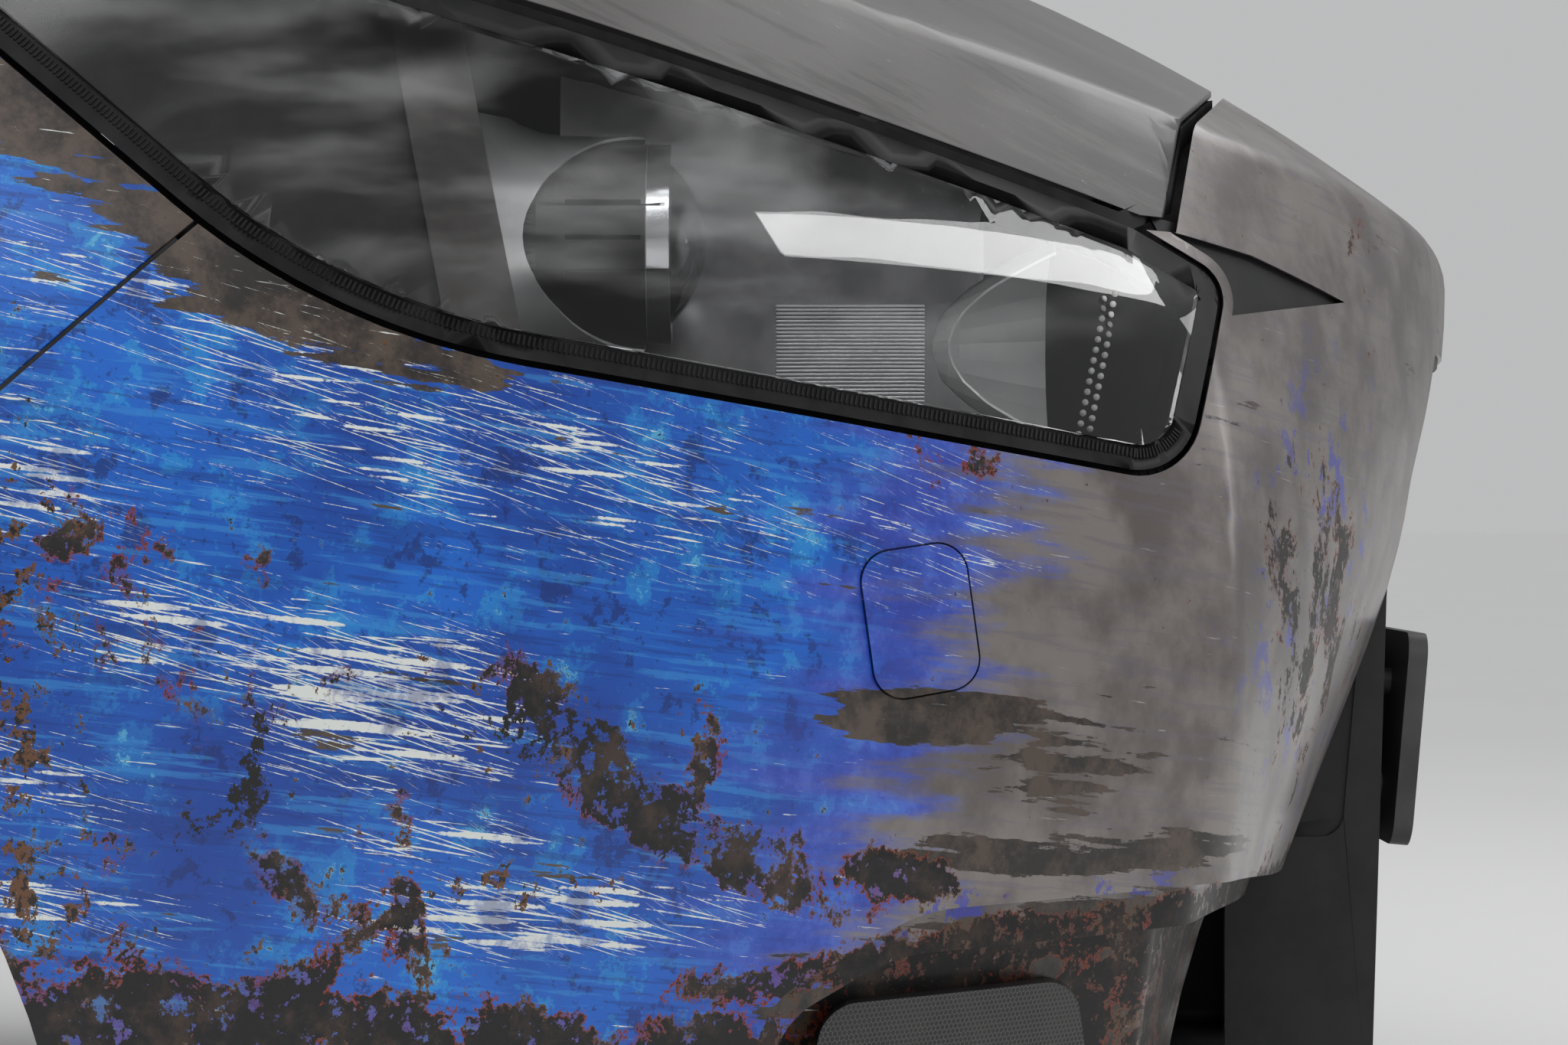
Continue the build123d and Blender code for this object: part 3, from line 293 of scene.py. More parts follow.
def livery():
    """Worn blue race paint: white brush marks, black scabs with rust rims, and a bare taupe nose."""
    s = Shades("worn blue livery")
    x, y, z = s.axis("X"), s.axis("Y"), s.axis("Z")
    flat = s.joined(s.along(y, x), z, 0.0)
    side = s.joined(y, z, 0.0)

    def patches(rows):
        """1 in the middle of the worn patches, 0 outside them."""
        found = []
        for mid_y, mid_z, half, height, tilt, amount in rows:
            place = s.mapped((half, height, 1), radians(tilt), (mid_y, mid_z, 0), side)
            length = s.new("ShaderNodeVectorMath", operation="LENGTH")
            s.plug(length.inputs[0], place)
            found.append(s.times(s.span(length.outputs["Value"], 1.5, 0.3), amount))
        return s.most(*found)

    def brushed(tilt, length, width, start, detail=4):
        """Noise drawn out along a tilted direction."""
        place = s.mapped((length, width, 1), radians(tilt), (start, 0, 0), flat)
        return s.flat_noise(1, detail, 0.62, place)

    def strokes(tilt, length, width, amount, start):
        """Tapered scratches, more and wider where amount is high."""
        place = s.mapped((length, width, 1), radians(tilt), (start, 0, 0), flat)
        reach = s.times(amount, SCRATCH_REACH)
        return s.span(s.add(s.cells(place), grit), reach, s.add(reach, -0.05))

    cloud = s.noise(0.13, 4, 0.6, warp=0.4)
    fine = s.noise(0.022, 7, 0.72)
    grain = s.noise(0.0030, 3, 0.7)
    grit = s.times(s.add(grain, -0.5), 0.22)
    drawn = brushed(8, 0.070, 0.0045, 0.0, 5)
    wide = brushed(5, 0.100, 0.0140, 0.4, 5)

    # Paint, from deep blue to azure, worn to cyan with crisp edges
    paint = s.mix(s.span(cloud, 0.36, 0.66), DEEP_BLUE, AZURE)
    paint = s.mix(s.times(s.span(fine, 0.535, 0.575), s.span(cloud, 0.35, 0.6), 0.55), paint, CYAN)
    paint = s.mix(s.times(s.span(fine, 0.625, 0.650), 0.6), paint, PALE_CYAN)
    paint = s.mix(s.times(s.span(fine, 0.425, 0.395), 0.7), paint, NAVY)
    paint = s.mix(s.times(s.span(drawn, 0.56, 0.64), 0.40), paint, LIGHT_STREAK)
    paint = s.mix(s.times(s.span(drawn, 0.43, 0.38), 0.45), paint, DARK_STREAK)
    paint = s.mix(s.times(s.span(grain, 0.62, 0.70), 0.55), paint, SPECK)

    # The nose: violet, then bare taupe, the edges drawn out along the brush strokes
    torn = s.times(s.add(wide, -0.5), 0.16)
    front = s.add(s.times(y, -1), s.times(z, -0.32), torn)
    violet = s.mix(s.span(fine, 0.42, 0.6), DARK_VIOLET, VIOLET)
    paint = s.mix(s.times(s.span(front, 0.640, 0.720), 0.8), paint, violet)
    taupe = s.mix(s.span(s.noise(0.05, 5, 0.6), 0.38, 0.64), DARK_TAUPE, PALE_TAUPE)
    taupe = s.mix(s.times(s.span(drawn, 0.52, 0.62), 0.4), taupe, MAUVE)
    bare = s.span(front, 0.705, 0.755)
    paint = s.mix(bare, paint, taupe)
    kept = s.times(bare, s.span(fine, 0.575, 0.600), patches(KEPT))
    paint = s.mix(kept, paint, KEPT_BLUE)
    high = s.add(z, s.times(y, -0.20), s.times(cloud, 0.08))
    top = s.span(high, 0.46, 0.52)
    paint = s.mix(top, paint, taupe)

    # Dark bare patches with torn ends
    torn_off = s.add(s.times(wide, 0.55), s.times(drawn, 0.30), s.times(fine, 0.25), s.times(patches(STRIPPED), 0.24))
    stripped = s.span(torn_off, 0.680, 0.697)
    paint = s.mix(stripped, paint, s.mix(s.span(fine, 0.40, 0.62), UNDERCOAT, PALE_UNDERCOAT))

    # White scratches in bundles, thick brush marks in their middle
    bundles = s.most(s.times(s.span(s.noise(0.17, 2, 0.6), 0.50, 0.64), 0.42), patches(BRUSHED))
    bundles = s.times(bundles, s.spared(bare, 0.75), s.spared(top, 0.6), s.spared(stripped, 0.55))
    scratch = s.most(
        strokes(16, 0.090, 0.0019, s.times(bundles, 0.85), 0.0),
        strokes(11, 0.150, 0.0024, s.times(bundles, 0.80), 0.31),
        strokes(6, 0.075, 0.0052, s.times(s.span(bundles, 0.45, 0.95), 1.25), 0.57),
        strokes(20, 0.240, 0.0015, s.times(bundles, 0.85), 0.83),
        s.times(strokes(34, 0.060, 0.0009, s.times(bundles, 0.55), 0.13), 0.6),
        s.span(s.add(brushed(7, 0.048, 0.0024, 0.7), s.times(s.span(bundles, 0.4, 1.1), 0.115)), 0.720, 0.745),
    )
    scratch = s.times(scratch, s.add(0.45, s.times(s.span(fine, 0.40, 0.50), 0.55)))
    paint = s.mix(scratch, paint, s.mix(bare, CHALK, GREY_CHALK))

    # Black scabs with holes and rust rims, and rust flecks
    # From z = -0.05 m downwards the scabs and rust spread further, so the skin darkens towards the bottom
    worn = s.most(s.times(s.span(s.noise(0.21, 2, 0.55), 0.52, 0.66), 0.55), patches(SCABBED),
                  s.span(z, -0.050, -0.240))
    crust = s.add(s.noise(0.034, 8, 0.74, warp=0.2), s.times(worn, 0.23), s.times(grit, 0.10))
    hole = s.span(s.noise(0.0085, 5, 0.72), 0.580, 0.595)
    scab = s.times(s.span(crust, 0.688, 0.694), s.spared(hole))
    rim = s.span(crust, 0.664, 0.676)
    rusty = s.most(patches(RUSTED), s.times(worn, 0.6))
    fleck = s.span(s.add(s.noise(0.011, 6, 0.75), s.times(rusty, 0.13)), 0.672, 0.684)
    ochre = s.mix(s.span(fine, 0.44, 0.56), RUST, OCHRE)
    crusty = s.mix(s.span(fine, 0.46, 0.66), BLACK_CRUST, BROWN_CRUST)
    rusted = s.most(s.times(rim, s.spared(hole, 0.6), s.span(cloud, 0.35, 0.55)), fleck)
    paint = s.mix(rusted, paint, ochre)
    paint = s.mix(scab, paint, crusty)
    paint = s.mix(s.times(fleck, s.span(grain, 0.50, 0.56)), paint, PIT)

    s.set(Base_Color=paint, Roughness=s.add(0.31, s.times(scratch, 0.15), s.times(scab, 0.30)),
          Metallic=s.times(bare, 0.30), Coat_Weight=0.25, Coat_Roughness=0.18)
    s.bump(grain, 0.00005)
    return s.material


def wandering(name, dark, light, size, rough, metal=0.0, depth=0.0, grain=12, **more):
    """A finish whose colour wanders between two tones over lumps of size, with a fine relief."""
    s = Shades(name)
    wander = s.noise(size, 5, 0.6)
    s.set(Base_Color=s.mix(s.span(wander, 0.35, 0.65), dark, light), Metallic=metal,
          Roughness=s.add(s.times(wander, 0.12), rough - 0.06), **more)
    if depth:
        s.bump(s.noise(size / grain, 3), depth)
    return s.material


def bonnet_paint():
    """Satin grey paint with darker streaks, broad pale streaks of painted highlight, and small pale scratches."""
    s = Shades("satin grey bonnet")
    side = s.joined(s.axis("Y"), s.axis("Z"), s.axis("X"))
    streaks_and_sheen = s.noise(1, 5, 0.65, s.mapped((0.12, 0.012, 0.16), radians(24), where=side))
    marks = s.noise(1, 4, 0.7, s.mapped((0.020, 0.0012, 0.004), radians(24), where=side))
    base = s.mix(s.span(s.noise(0.2, 3, 0.6), 0.35, 0.65), (0.085, 0.081, 0.080), (0.125, 0.120, 0.118))
    # Broad pale streaks where the streak noise is high: painted highlight
    base = s.mix(s.times(s.span(streaks_and_sheen, 0.52, 0.74), 0.32), base, (0.22, 0.215, 0.21))
    base = s.mix(s.times(s.span(streaks_and_sheen, 0.46, 0.34), 0.5), base, (0.05, 0.048, 0.047))
    base = s.mix(s.times(s.span(marks, 0.66, 0.72), s.span(streaks_and_sheen, 0.44, 0.62), 0.75), base, (0.40, 0.39, 0.38))
    s.set(Base_Color=base, Metallic=0.35, Roughness=s.add(0.28, s.times(streaks_and_sheen, 0.16)), Coat_Weight=0.25,
          Coat_Roughness=0.12)
    s.bump(s.noise(0.003, 2), 0.00004)
    return s.material


HONEYCOMB_PITCH = 0.0023


def honeycomb():
    """Black plastic with a fine moulded honeycomb grain."""
    s = Shades("honeycomb grained black")
    flat = s.joined(s.along(s.axis("Y"), s.axis("X")), s.axis("Z"), 0.0)
    spread = s.mapped((HONEYCOMB_PITCH, HONEYCOMB_PITCH * CELL_RISE, 1), where=flat)
    cell = s.math("MINIMUM", s.lattice(spread, 0.0), s.lattice(spread, 0.5))
    wall = s.span(cell, 0.36, 0.47)
    tone = s.mix(s.span(s.noise(0.03, 3), 0.4, 0.65), (0.018, 0.018, 0.019), (0.030, 0.029, 0.029))
    s.set(Base_Color=s.mix(wall, tone, (0.105, 0.102, 0.100)), Roughness=s.add(0.38, s.times(wall, 0.12)))
    s.bump(wall, 0.0004)
    return s.material


def clear(name, tint=(0.985, 0.988, 0.99), haze=0.02):
    """Clear moulding with a faint haze of fine scratches."""
    s = Shades(name)
    side = s.joined(s.axis("Y"), s.axis("Z"), 0.0)
    rubbed = s.flat_noise(1, 4, 0.7, s.mapped((0.05, 0.0025, 1), radians(14), where=side))
    s.set(Base_Color=tint, Transmission_Weight=1.0, IOR=1.45, Roughness=s.times(s.span(rubbed, 0.5, 0.8), haze))
    return s.material


# Where the barrel's bright ring starts, and where it is fully bright
RING_START, RING_FULL = -0.6305, -0.6315


def barrel_finish():
    """Black projector barrel with a bright ring at its mouth."""
    s = Shades("projector barrel")
    ring = s.span(s.axis("Y"), RING_START, RING_FULL)
    tone = s.noise(0.01, 4)
    s.set(Base_Color=s.mix(ring, s.mix(tone, (0.010, 0.010, 0.011), (0.022, 0.022, 0.024)), (0.62, 0.63, 0.65)),
          Metallic=ring, Roughness=s.add(0.36, s.times(ring, -0.24), s.times(tone, 0.05)))
    s.bump(s.noise(0.0010, 2), 0.00002)
    return s.material


finishes = {
    "livery": livery(),
    "bonnet": bonnet_paint(),
    "trim": wandering("grained black trim", (0.010, 0.010, 0.011), (0.020, 0.020, 0.021), size=0.03, rough=0.52,
                      depth=0.00004, grain=30),
    "mesh": honeycomb(),
    "seal": wandering("black rubber seal", (0.006, 0.006, 0.007), (0.014, 0.014, 0.015), size=0.02, rough=0.44,
                      Specular_IOR_Level=0.22),
    "matte": wandering("matte lamp bezel", (0.010, 0.010, 0.010), (0.020, 0.019, 0.019), size=0.02, rough=0.60,
                       depth=0.00008, grain=26),
    "pillar": wandering("gloss lamp pillar", (0.050, 0.046, 0.044), (0.095, 0.088, 0.084), size=0.05, rough=0.20,
                        metal=0.3),
    "smoked": wandering("smoked chrome", (0.16, 0.16, 0.165), (0.26, 0.26, 0.265), size=0.04, rough=0.22, metal=1.0),
    "satin": wandering("satin reflector", (0.55, 0.55, 0.56), (0.68, 0.68, 0.69), size=0.02, rough=0.40,
                       metal=0.75),
    "surround": wandering("bright surround", (0.84, 0.84, 0.85), (0.92, 0.92, 0.92), size=0.02, rough=0.34,
                          metal=0.55),
    "bowl": wandering("bright bowl", (0.90, 0.90, 0.91), (0.96, 0.96, 0.96), size=0.02, rough=0.32, metal=0.20),
    "plate": wandering("plate holder", (0.045, 0.045, 0.045), (0.075, 0.075, 0.075), size=0.05, rough=0.42),
    "clear": clear("clear lamp cover"),
    "dome": clear("projector lens glass", (0.95, 0.97, 1.0), 0.0),
    "guide": wandering("milky light guide", (0.50, 0.50, 0.49), (0.70, 0.70, 0.68), size=0.01, rough=0.25),
    "barrel": barrel_finish(),
    "steel": wandering("primed steel", (0.11, 0.11, 0.115), (0.16, 0.16, 0.165), size=0.05, rough=0.5,
                       depth=0.00012),
    "core": wandering("radiator core", (0.35, 0.36, 0.37), (0.45, 0.46, 0.47), size=0.02, rough=0.4, metal=1.0),
}
# The finish of each slot, and of the nodes that differ from their slot
by_slot = {
    "livery_blue": "livery", "satin_grey": "bonnet", "black_trim": "trim", "blank_plate": "plate",
    "lens_clear": "clear", "lamp_metal": "smoked", "lamp_grey": "barrel", "primed_steel": "steel",
    "carrier_black": "trim", "core_aluminium": "core",
}
by_node = {"fog_cover": "mesh", "projector_lens": "dome", "headlamp_rim": "seal", "upper_vent": "seal"}
slot_of = {row["node"]: row["material_slot"] for row in frame["record"]["subparts"]}
body_of_node = {node: body for body, names in frame["record"]["behaviour"]["bodies"].items() for node in names}

# Widths of the soft edges given to outer panels
ROUNDED = {"bonnet_skin": 0.0012, "bumper_cover": 0.0010, "washer_cap": 0.0012, "wing": 0.0010,
           "plate_holder": 0.0012, "fog_cover": 0.0012}
# Faces within the first angle are one face, and edges past the second are rounded
FLAT_ANGLE, EDGE_ANGLE = radians(0.05), radians(50)
# Nodes that pieces made further down stand for
REMADE = ("headlamp_bezel", "headlamp_shroud", "beam_reflector")
WELD = 0.00001


def deselect():
    if bpy.context.object and bpy.context.object.mode != "OBJECT":
        bpy.ops.object.mode_set(mode="OBJECT")
    bpy.ops.object.select_all(action="DESELECT")


def pick(piece):
    """Selects one piece alone and makes it active."""
    deselect()
    piece.select_set(True)
    bpy.context.view_layer.objects.active = piece


def edit_all(piece):
    """Opens a piece in edit mode with everything selected."""
    pick(piece)
    bpy.ops.object.mode_set(mode="EDIT")
    bpy.ops.mesh.select_all(action="SELECT")


def done():
    bpy.ops.object.mode_set(mode="OBJECT")


def settle():
    """Writes the place, turn and size of what is selected into its mesh."""
    bpy.ops.object.transform_apply(location=True, rotation=True, scale=True)


def apply(piece, name, kind, **values):
    """Adds a modifier and applies it."""
    modifier = piece.modifiers.new(name, kind)
    for key, value in values.items():
        setattr(modifier, key, value)
    pick(piece)
    bpy.ops.object.modifier_apply(modifier=modifier.name)


def smooth(piece):
    """Shades a piece smooth between its sharp edges."""
    pick(piece)
    bpy.ops.object.shade_smooth_by_angle(angle=SMOOTH_ANGLE)
    apply(piece, "even normals", "WEIGHTED_NORMAL", keep_sharp=True)


# Lamp cover: size of its cells, the reach over which its normals are evened, and how many are worked out at once
LENS_CELL = 0.015
LENS_SPREAD = 0.011
LENS_BATCH = 256


def evened(piece):
    """Cuts a crowned cover into small cells and spreads its normals over them, so that it mirrors smoothly."""
    corners = [tuple(corner) for corner in piece.bound_box]
    edit_all(piece)
    for axis in range(3):
        low = min(corner[axis] for corner in corners)
        high = max(corner[axis] for corner in corners)
        across = Vector([float(other == axis) for other in range(3)])
        for step in range(1, int((high - low) / LENS_CELL) + 1):
            bpy.ops.mesh.select_all(action="SELECT")
            bpy.ops.mesh.bisect(plane_co=across * (low + LENS_CELL * step), plane_no=across)
    done()

    def read(rows, key, width=3, kind=np.float32):
        values = np.empty(len(rows) * width, kind)
        rows.foreach_get(key, values)
        return values.reshape(-1, width) if width > 1 else values

    mesh = piece.data
    centres, facing = read(mesh.polygons, "center"), read(mesh.polygons, "normal")
    area = read(mesh.polygons, "area", 1)
    places = read(mesh.vertices, "co")[read(mesh.loops, "vertex_index", 1, np.int32)]
    normals = read(mesh.loops, "normal")
    for start in range(0, len(places), LENS_BATCH):
        batch = slice(start, start + LENS_BATCH)
        apart = ((places[batch, None] - centres[None]) ** 2).sum(-1)
        alike = (normals[batch] @ facing.T).clip(0, 1) ** 4
        total = (area * np.exp(-apart / (2 * LENS_SPREAD ** 2)) * alike) @ facing
        normals[batch] = total / np.linalg.norm(total, axis=1, keepdims=True).clip(1e-12)
    mesh.normals_split_custom_set(normals.tolist())


def dress(piece, finish, body="front_end"):
    """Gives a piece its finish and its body."""
    piece.data.materials.clear()
    piece.data.materials.append(finishes[finish])
    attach(piece, body)


def twin(piece, name):
    """A copy of a piece with its own mesh."""
    other = piece.copy()
    other.data = piece.data.copy()
    other.name = name
    bpy.context.scene.collection.objects.link(other)
    return other


def merged(node, name):
    """A welded copy of a CAD node."""
    piece = twin(nodes[node], name)
    edit_all(piece)
    bpy.ops.mesh.remove_doubles(threshold=WELD)
    done()
    return piece


def stem_of(node):
    """A node's name without its side."""
    return node.removesuffix("_right").removesuffix("_left")


def finish_node(node):
    """A smooth-shaded copy of a CAD node, its edges rounded, which stands for it."""
    piece = merged(node, node + "_finished")
    stem = stem_of(node)
    if stem in ROUNDED:
        edit_all(piece)
        bpy.ops.mesh.dissolve_limited(angle_limit=FLAT_ANGLE)
        done()
        apply(piece, "soft edges", "BEVEL", width=ROUNDED[stem], segments=2, limit_method="ANGLE",
              angle_limit=EDGE_ANGLE, use_clamp_overlap=True)
    # The rim stays flat-shaded: smoothed, its narrow faces show black triangles
    if stem != "headlamp_rim":
        smooth(piece)
    if stem == "headlamp_lens":
        evened(piece)
    dress(piece, by_node.get(stem, by_slot[slot_of[node]]), body_of_node[node])
    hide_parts(node)
    return piece


finished = {node: finish_node(node) for node in sorted(nodes) if stem_of(node) not in REMADE}


def cut(piece, place, normal, fill=True):
    """Cuts off what lies on the normal's side of a plane."""
    edit_all(piece)
    bpy.ops.mesh.bisect(plane_co=place, plane_no=normal, use_fill=fill, clear_outer=True)
    done()


def mirrored(piece, name):
    """The left-hand mirror image of a right-hand piece."""
    other = twin(piece, name)
    other.data.transform(Matrix.Scale(-1, 4, (1, 0, 0)))
    edit_all(other)
    bpy.ops.mesh.flip_normals()
    done()
    return other


def pair_up(piece, finish, stands_for=None, smoothed=True, body="front_end"):
    """Finishes a right-hand piece and its mirror image, which may stand for a pair of nodes."""
    if smoothed:
        smooth(piece)
    other = mirrored(piece, piece.name.replace("right", "left"))
    for half, side in ((piece, "right"), (other, "left")):
        dress(half, finish, body)
        if stands_for:
            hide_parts(f"{stands_for}_{side}")


def block(size, place=(0, 0, 0)):
    """A block of a size at a place, ready to be shaped."""
    deselect()
    bpy.ops.mesh.primitive_cube_add(size=1, location=place)
    piece = bpy.context.object
    piece.scale = size
    settle()
    return piece


def laid_out(model, spots, name):
    """A small piece and its copies, one at each spot, joined into one."""
    copies = [model] + [twin(model, name) for spot in spots[1:]]
    deselect()
    for copy, spot in zip(copies, spots):
        copy.matrix_world = spot
        copy.select_set(True)
    bpy.context.view_layer.objects.active = model
    bpy.ops.object.join()
    model.name = name
    settle()
    return model


# Lamp bezel: a matte tail panel and the gloss pillar in front of it, its front edge slanted
PILLAR_TOP, PILLAR_FOOT = Vector((0, -0.5657, 0.2872)), Vector((0, -0.5830, 0.2065))
PILLAR_WIDTH = 0.026
PANEL_LAP = 0.0005
PANEL_SINK = 0.004
lean = (PILLAR_FOOT - PILLAR_TOP).normalized()
forward = Vector((0, lean.z, -lean.y))
for side, sign in SIDES:
    node = f"headlamp_bezel_{side}"
    pillar = merged(node, f"lamp_pillar_{side}")
    cut(pillar, PILLAR_TOP, forward)
    cut(pillar, PILLAR_TOP - forward * PILLAR_WIDTH, -forward)
    smooth(pillar)
    panel = merged(node, f"lamp_tail_panel_{side}")
    cut(panel, PILLAR_TOP - forward * (PILLAR_WIDTH - PANEL_LAP), forward)
    edit_all(panel)
    bpy.ops.transform.translate(value=(-sign * PANEL_SINK, 0, 0))
    done()
    smooth(panel)
    dress(pillar, "pillar")
    dress(panel, "matte")
    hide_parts(node)

# Bright surround: it hoods the projector's barrel, its front edge cut aslant, and flares back to the pillar
PROJECTOR_X, PROJECTOR_Z = -0.662, 0.230
SURROUND = ((0.0427, -0.6290), (0.0427, -0.6120), (0.0430, -0.5960), (0.0445, -0.5870), (0.0480, -0.5780),
            (0.0540, -0.5690), (0.0620, -0.5610), (0.0660, -0.5570))
SURROUND_TOP, SURROUND_FOOT = 0.2795, 0.176
SURROUND_EDGE = Vector((PROJECTOR_X - 0.043, -0.5860, 0))
SHEET_WALL = 0.0012


def spun(name, profile, centre_x, centre_z, steps=64):
    """A surface of revolution about a level axis from (radius, y) points, spun from a chain of edges."""
    deselect()
    radius, y = profile[0]
    bpy.ops.mesh.primitive_plane_add(size=0.001, location=(centre_x, y, centre_z + radius))
    piece = bpy.context.object
    piece.name = name
    settle()
    edit_all(piece)
    bpy.ops.mesh.merge(type="CENTER")
    for (r0, y0), (r1, y1) in zip(profile, profile[1:]):
        bpy.ops.mesh.extrude_vertices_move(TRANSFORM_OT_translate={"value": (0, y1 - y0, r1 - r0)})
    bpy.ops.mesh.select_all(action="SELECT")
    bpy.ops.mesh.spin(steps=steps, angle=2 * pi, center=(centre_x, 0, centre_z), axis=(0, 1, 0))
    bpy.ops.mesh.select_all(action="SELECT")
    bpy.ops.mesh.remove_doubles(threshold=2 * WELD)
    bpy.ops.mesh.normals_make_consistent(inside=False)
    done()
    return piece


surround = spun("lamp_surround_right", SURROUND, PROJECTOR_X, PROJECTOR_Z)
cut(surround, (0, 0, SURROUND_TOP), (0, 0, 1), fill=False)
cut(surround, (0, 0, SURROUND_FOOT), (0, 0, -1), fill=False)
cut(surround, SURROUND_EDGE, Vector((-1, -1, 0)).normalized(), fill=False)
apply(surround, "wall", "SOLIDIFY", thickness=SHEET_WALL, offset=0)
pair_up(surround, "surround", stands_for="headlamp_shroud")

# Main-beam bowl: a faceted bright bowl, its near side open towards the clear cover
BOWL_X, BOWL_Z = -0.575, 0.192
BOWL_FRONT_Y = -0.800
BOWL_RADIUS, BOWL_DEPTH = 0.0445, 0.0580
BOWL_TIP_RADIUS = 0.004
BOWL_FOOT_Z = 0.1535
BOWL_OPEN_X = -0.5960
BOWL_RINGS, BOWL_FLUTES = 9, 26
bowl_profile = [(BOWL_RADIUS * sqrt(1 - step / BOWL_RINGS), BOWL_FRONT_Y + BOWL_DEPTH * step / BOWL_RINGS)
                for step in range(BOWL_RINGS)]
bowl_profile.append((BOWL_TIP_RADIUS, BOWL_FRONT_Y + BOWL_DEPTH))
bowl = spun("lamp_bowl_right", bowl_profile, BOWL_X, BOWL_Z, BOWL_FLUTES)
cut(bowl, (0, 0, BOWL_FOOT_Z), (0, 0, -1), fill=False)
cut(bowl, (BOWL_OPEN_X, 0, 0), (-1, 0, 0), fill=False)
apply(bowl, "wall", "SOLIDIFY", thickness=SHEET_WALL, offset=0)
pair_up(bowl, "bowl", stands_for="beam_reflector", smoothed=False)

# Ribbed reflector sheet behind the lower middle of the lens
RIBBED_X, RIBBED_Y, RIBBED_Z = -0.5925, (-0.745, -0.682), (0.158, 0.212)
RIBBED_PITCH = 0.0016
RIBBED_FILL = 0.8
sheet = block((SHEET_WALL, RIBBED_Y[1] - RIBBED_Y[0], RIBBED_PITCH * RIBBED_FILL),
              (RIBBED_X, sum(RIBBED_Y) / 2, RIBBED_Z[0]))
sheet.name = "lamp_ribbed_sheet_right"
apply(sheet, "rounding", "BEVEL", width=0.0004, segments=2, limit_method="ANGLE", angle_limit=radians(40))
apply(sheet, "ribs", "ARRAY", use_relative_offset=False, use_constant_offset=True,
      constant_offset_displace=(0, 0, RIBBED_PITCH), count=int((RIBBED_Z[1] - RIBBED_Z[0]) / RIBBED_PITCH))
pair_up(sheet, "satin")

# Light guide: two rows of small studs on a slanted strip near the lamp's front
GUIDE_TOP, GUIDE_FOOT = Vector((-0.622, -0.8235, 0.2130)), Vector((-0.636, -0.8110, 0.1560))
GUIDE_STEP, GUIDE_ROW_GAP = 0.0046, 0.0042
STUD_RADIUS = 0.0014
run = GUIDE_FOOT - GUIDE_TOP
stud_spots = [Matrix.Translation(GUIDE_TOP + run.normalized() * GUIDE_STEP * (step + row * 0.5)
                                 + Vector((0, GUIDE_ROW_GAP * row, 0)))
              for row in range(2) for step in range(int(run.length / GUIDE_STEP) + 1)]
deselect()
bpy.ops.mesh.primitive_uv_sphere_add(segments=10, ring_count=6, radius=STUD_RADIUS)
pair_up(laid_out(bpy.context.object, stud_spots, "lamp_light_guide_right"), "guide")

# The lamp's lower edge in side view, as (y, z), with the radii of its bend and of its front corner
LAMP_POINTS = ((-0.290, 0.386), (-0.522, 0.189), (-0.852, 0.136), (-0.876, 0.222))
BEND_RADIUS, FOOT_RADIUS = 0.250, 0.028
BEND_STEPS = 24
RIB_PITCH = 0.0019
# The rim is looked at from this far beside the car, and faces it where its normal's x is below the second number
OUTSIDE_X, FACING_X = -2, -0.2
# Ribbed lip of the lamp's seal: size of a rib, its inset from the edge and the reach along y
RIB_SIZE = (0.0042, 0.0010, 0.0012)
LIP_INSET = 0.0068
LIP_REACH = (-0.850, -0.318)
LIP_LIFT = 0.0002
# Black gasket behind the gap round the edge: size of a block, its inset, reach, depth and step towards the edge
GASKET_SIZE = (0.0110, 0.0050, 0.0040)
GASKET_INSET = 0.0040
GASKET_REACH = (-0.856, -0.300)
GASKET_DEPTH = 0.0100
GASKET_OFFSET = 0.0060


def lip_path(inset):
    """Points and directions along the lamp's lower edge, moved inwards, one rib pitch apart."""
    points = [Vector(point) for point in LAMP_POINTS]
    line = [points[0]]
    for before, corner, after, radius in ((points[0], points[1], points[2], BEND_RADIUS),
                                          (points[1], points[2], points[3], FOOT_RADIUS)):
        into, out = (corner - before).normalized(), (after - corner).normalized()
        turn = acos(into.dot(out))
        start = corner - into * radius * tan(turn / 2)
        hand = 1 if into.x * out.y - into.y * out.x > 0 else -1
        centre = start + Vector((-into.y, into.x)) * hand * radius
        arm = start - centre
        for step in range(BEND_STEPS + 1):
            angle = hand * turn * step / BEND_STEPS
            line.append(centre + Vector((arm.x * cos(angle) - arm.y * sin(angle),
                                         arm.x * sin(angle) + arm.y * cos(angle))))
    line.append(points[3])
    path, spare = [], 0.0
    for a, b in zip(line, line[1:]):
        along = (b - a).normalized()
        inward = Vector((along.y, -along.x))
        length = (b - a).length
        while spare <= length:
            path.append((a + along * spare + inward * inset, along))
            spare += RIB_PITCH
        spare -= length
    return path


def on_rim(path, reach):
    """Place, normal, direction along and direction across on the rim, where it faces the side."""
    found = []
    for (y, z), (ay, az) in path:
        hit, place, normal, face = rim.ray_cast(Vector((OUTSIDE_X, y, z)), Vector((1, 0, 0)))
        if hit and normal.x <= FACING_X and reach[0] < y < reach[1]:
            tangent = Vector((0, ay, az))
            tangent = (tangent - normal * tangent.dot(normal)).normalized()
            found.append((place, normal, tangent, normal.cross(tangent)))
    return found


def turned(place, across, tangent, normal):
    """A spot's matrix, its x, y and z along the three directions."""
    return Matrix.Translation(place) @ Matrix((across, tangent, normal)).transposed().to_4x4()


rim = finished["headlamp_rim_right"]
bpy.context.view_layer.update()
rib = block(RIB_SIZE)
apply(rib, "rounding", "BEVEL", width=0.0002, segments=1)
rib_spots = [turned(place + normal * LIP_LIFT, across, tangent, normal)
             for place, normal, tangent, across in on_rim(lip_path(LIP_INSET), LIP_REACH)]
pair_up(laid_out(rib, rib_spots, "lamp_seal_ribs_right"), "seal", smoothed=False)

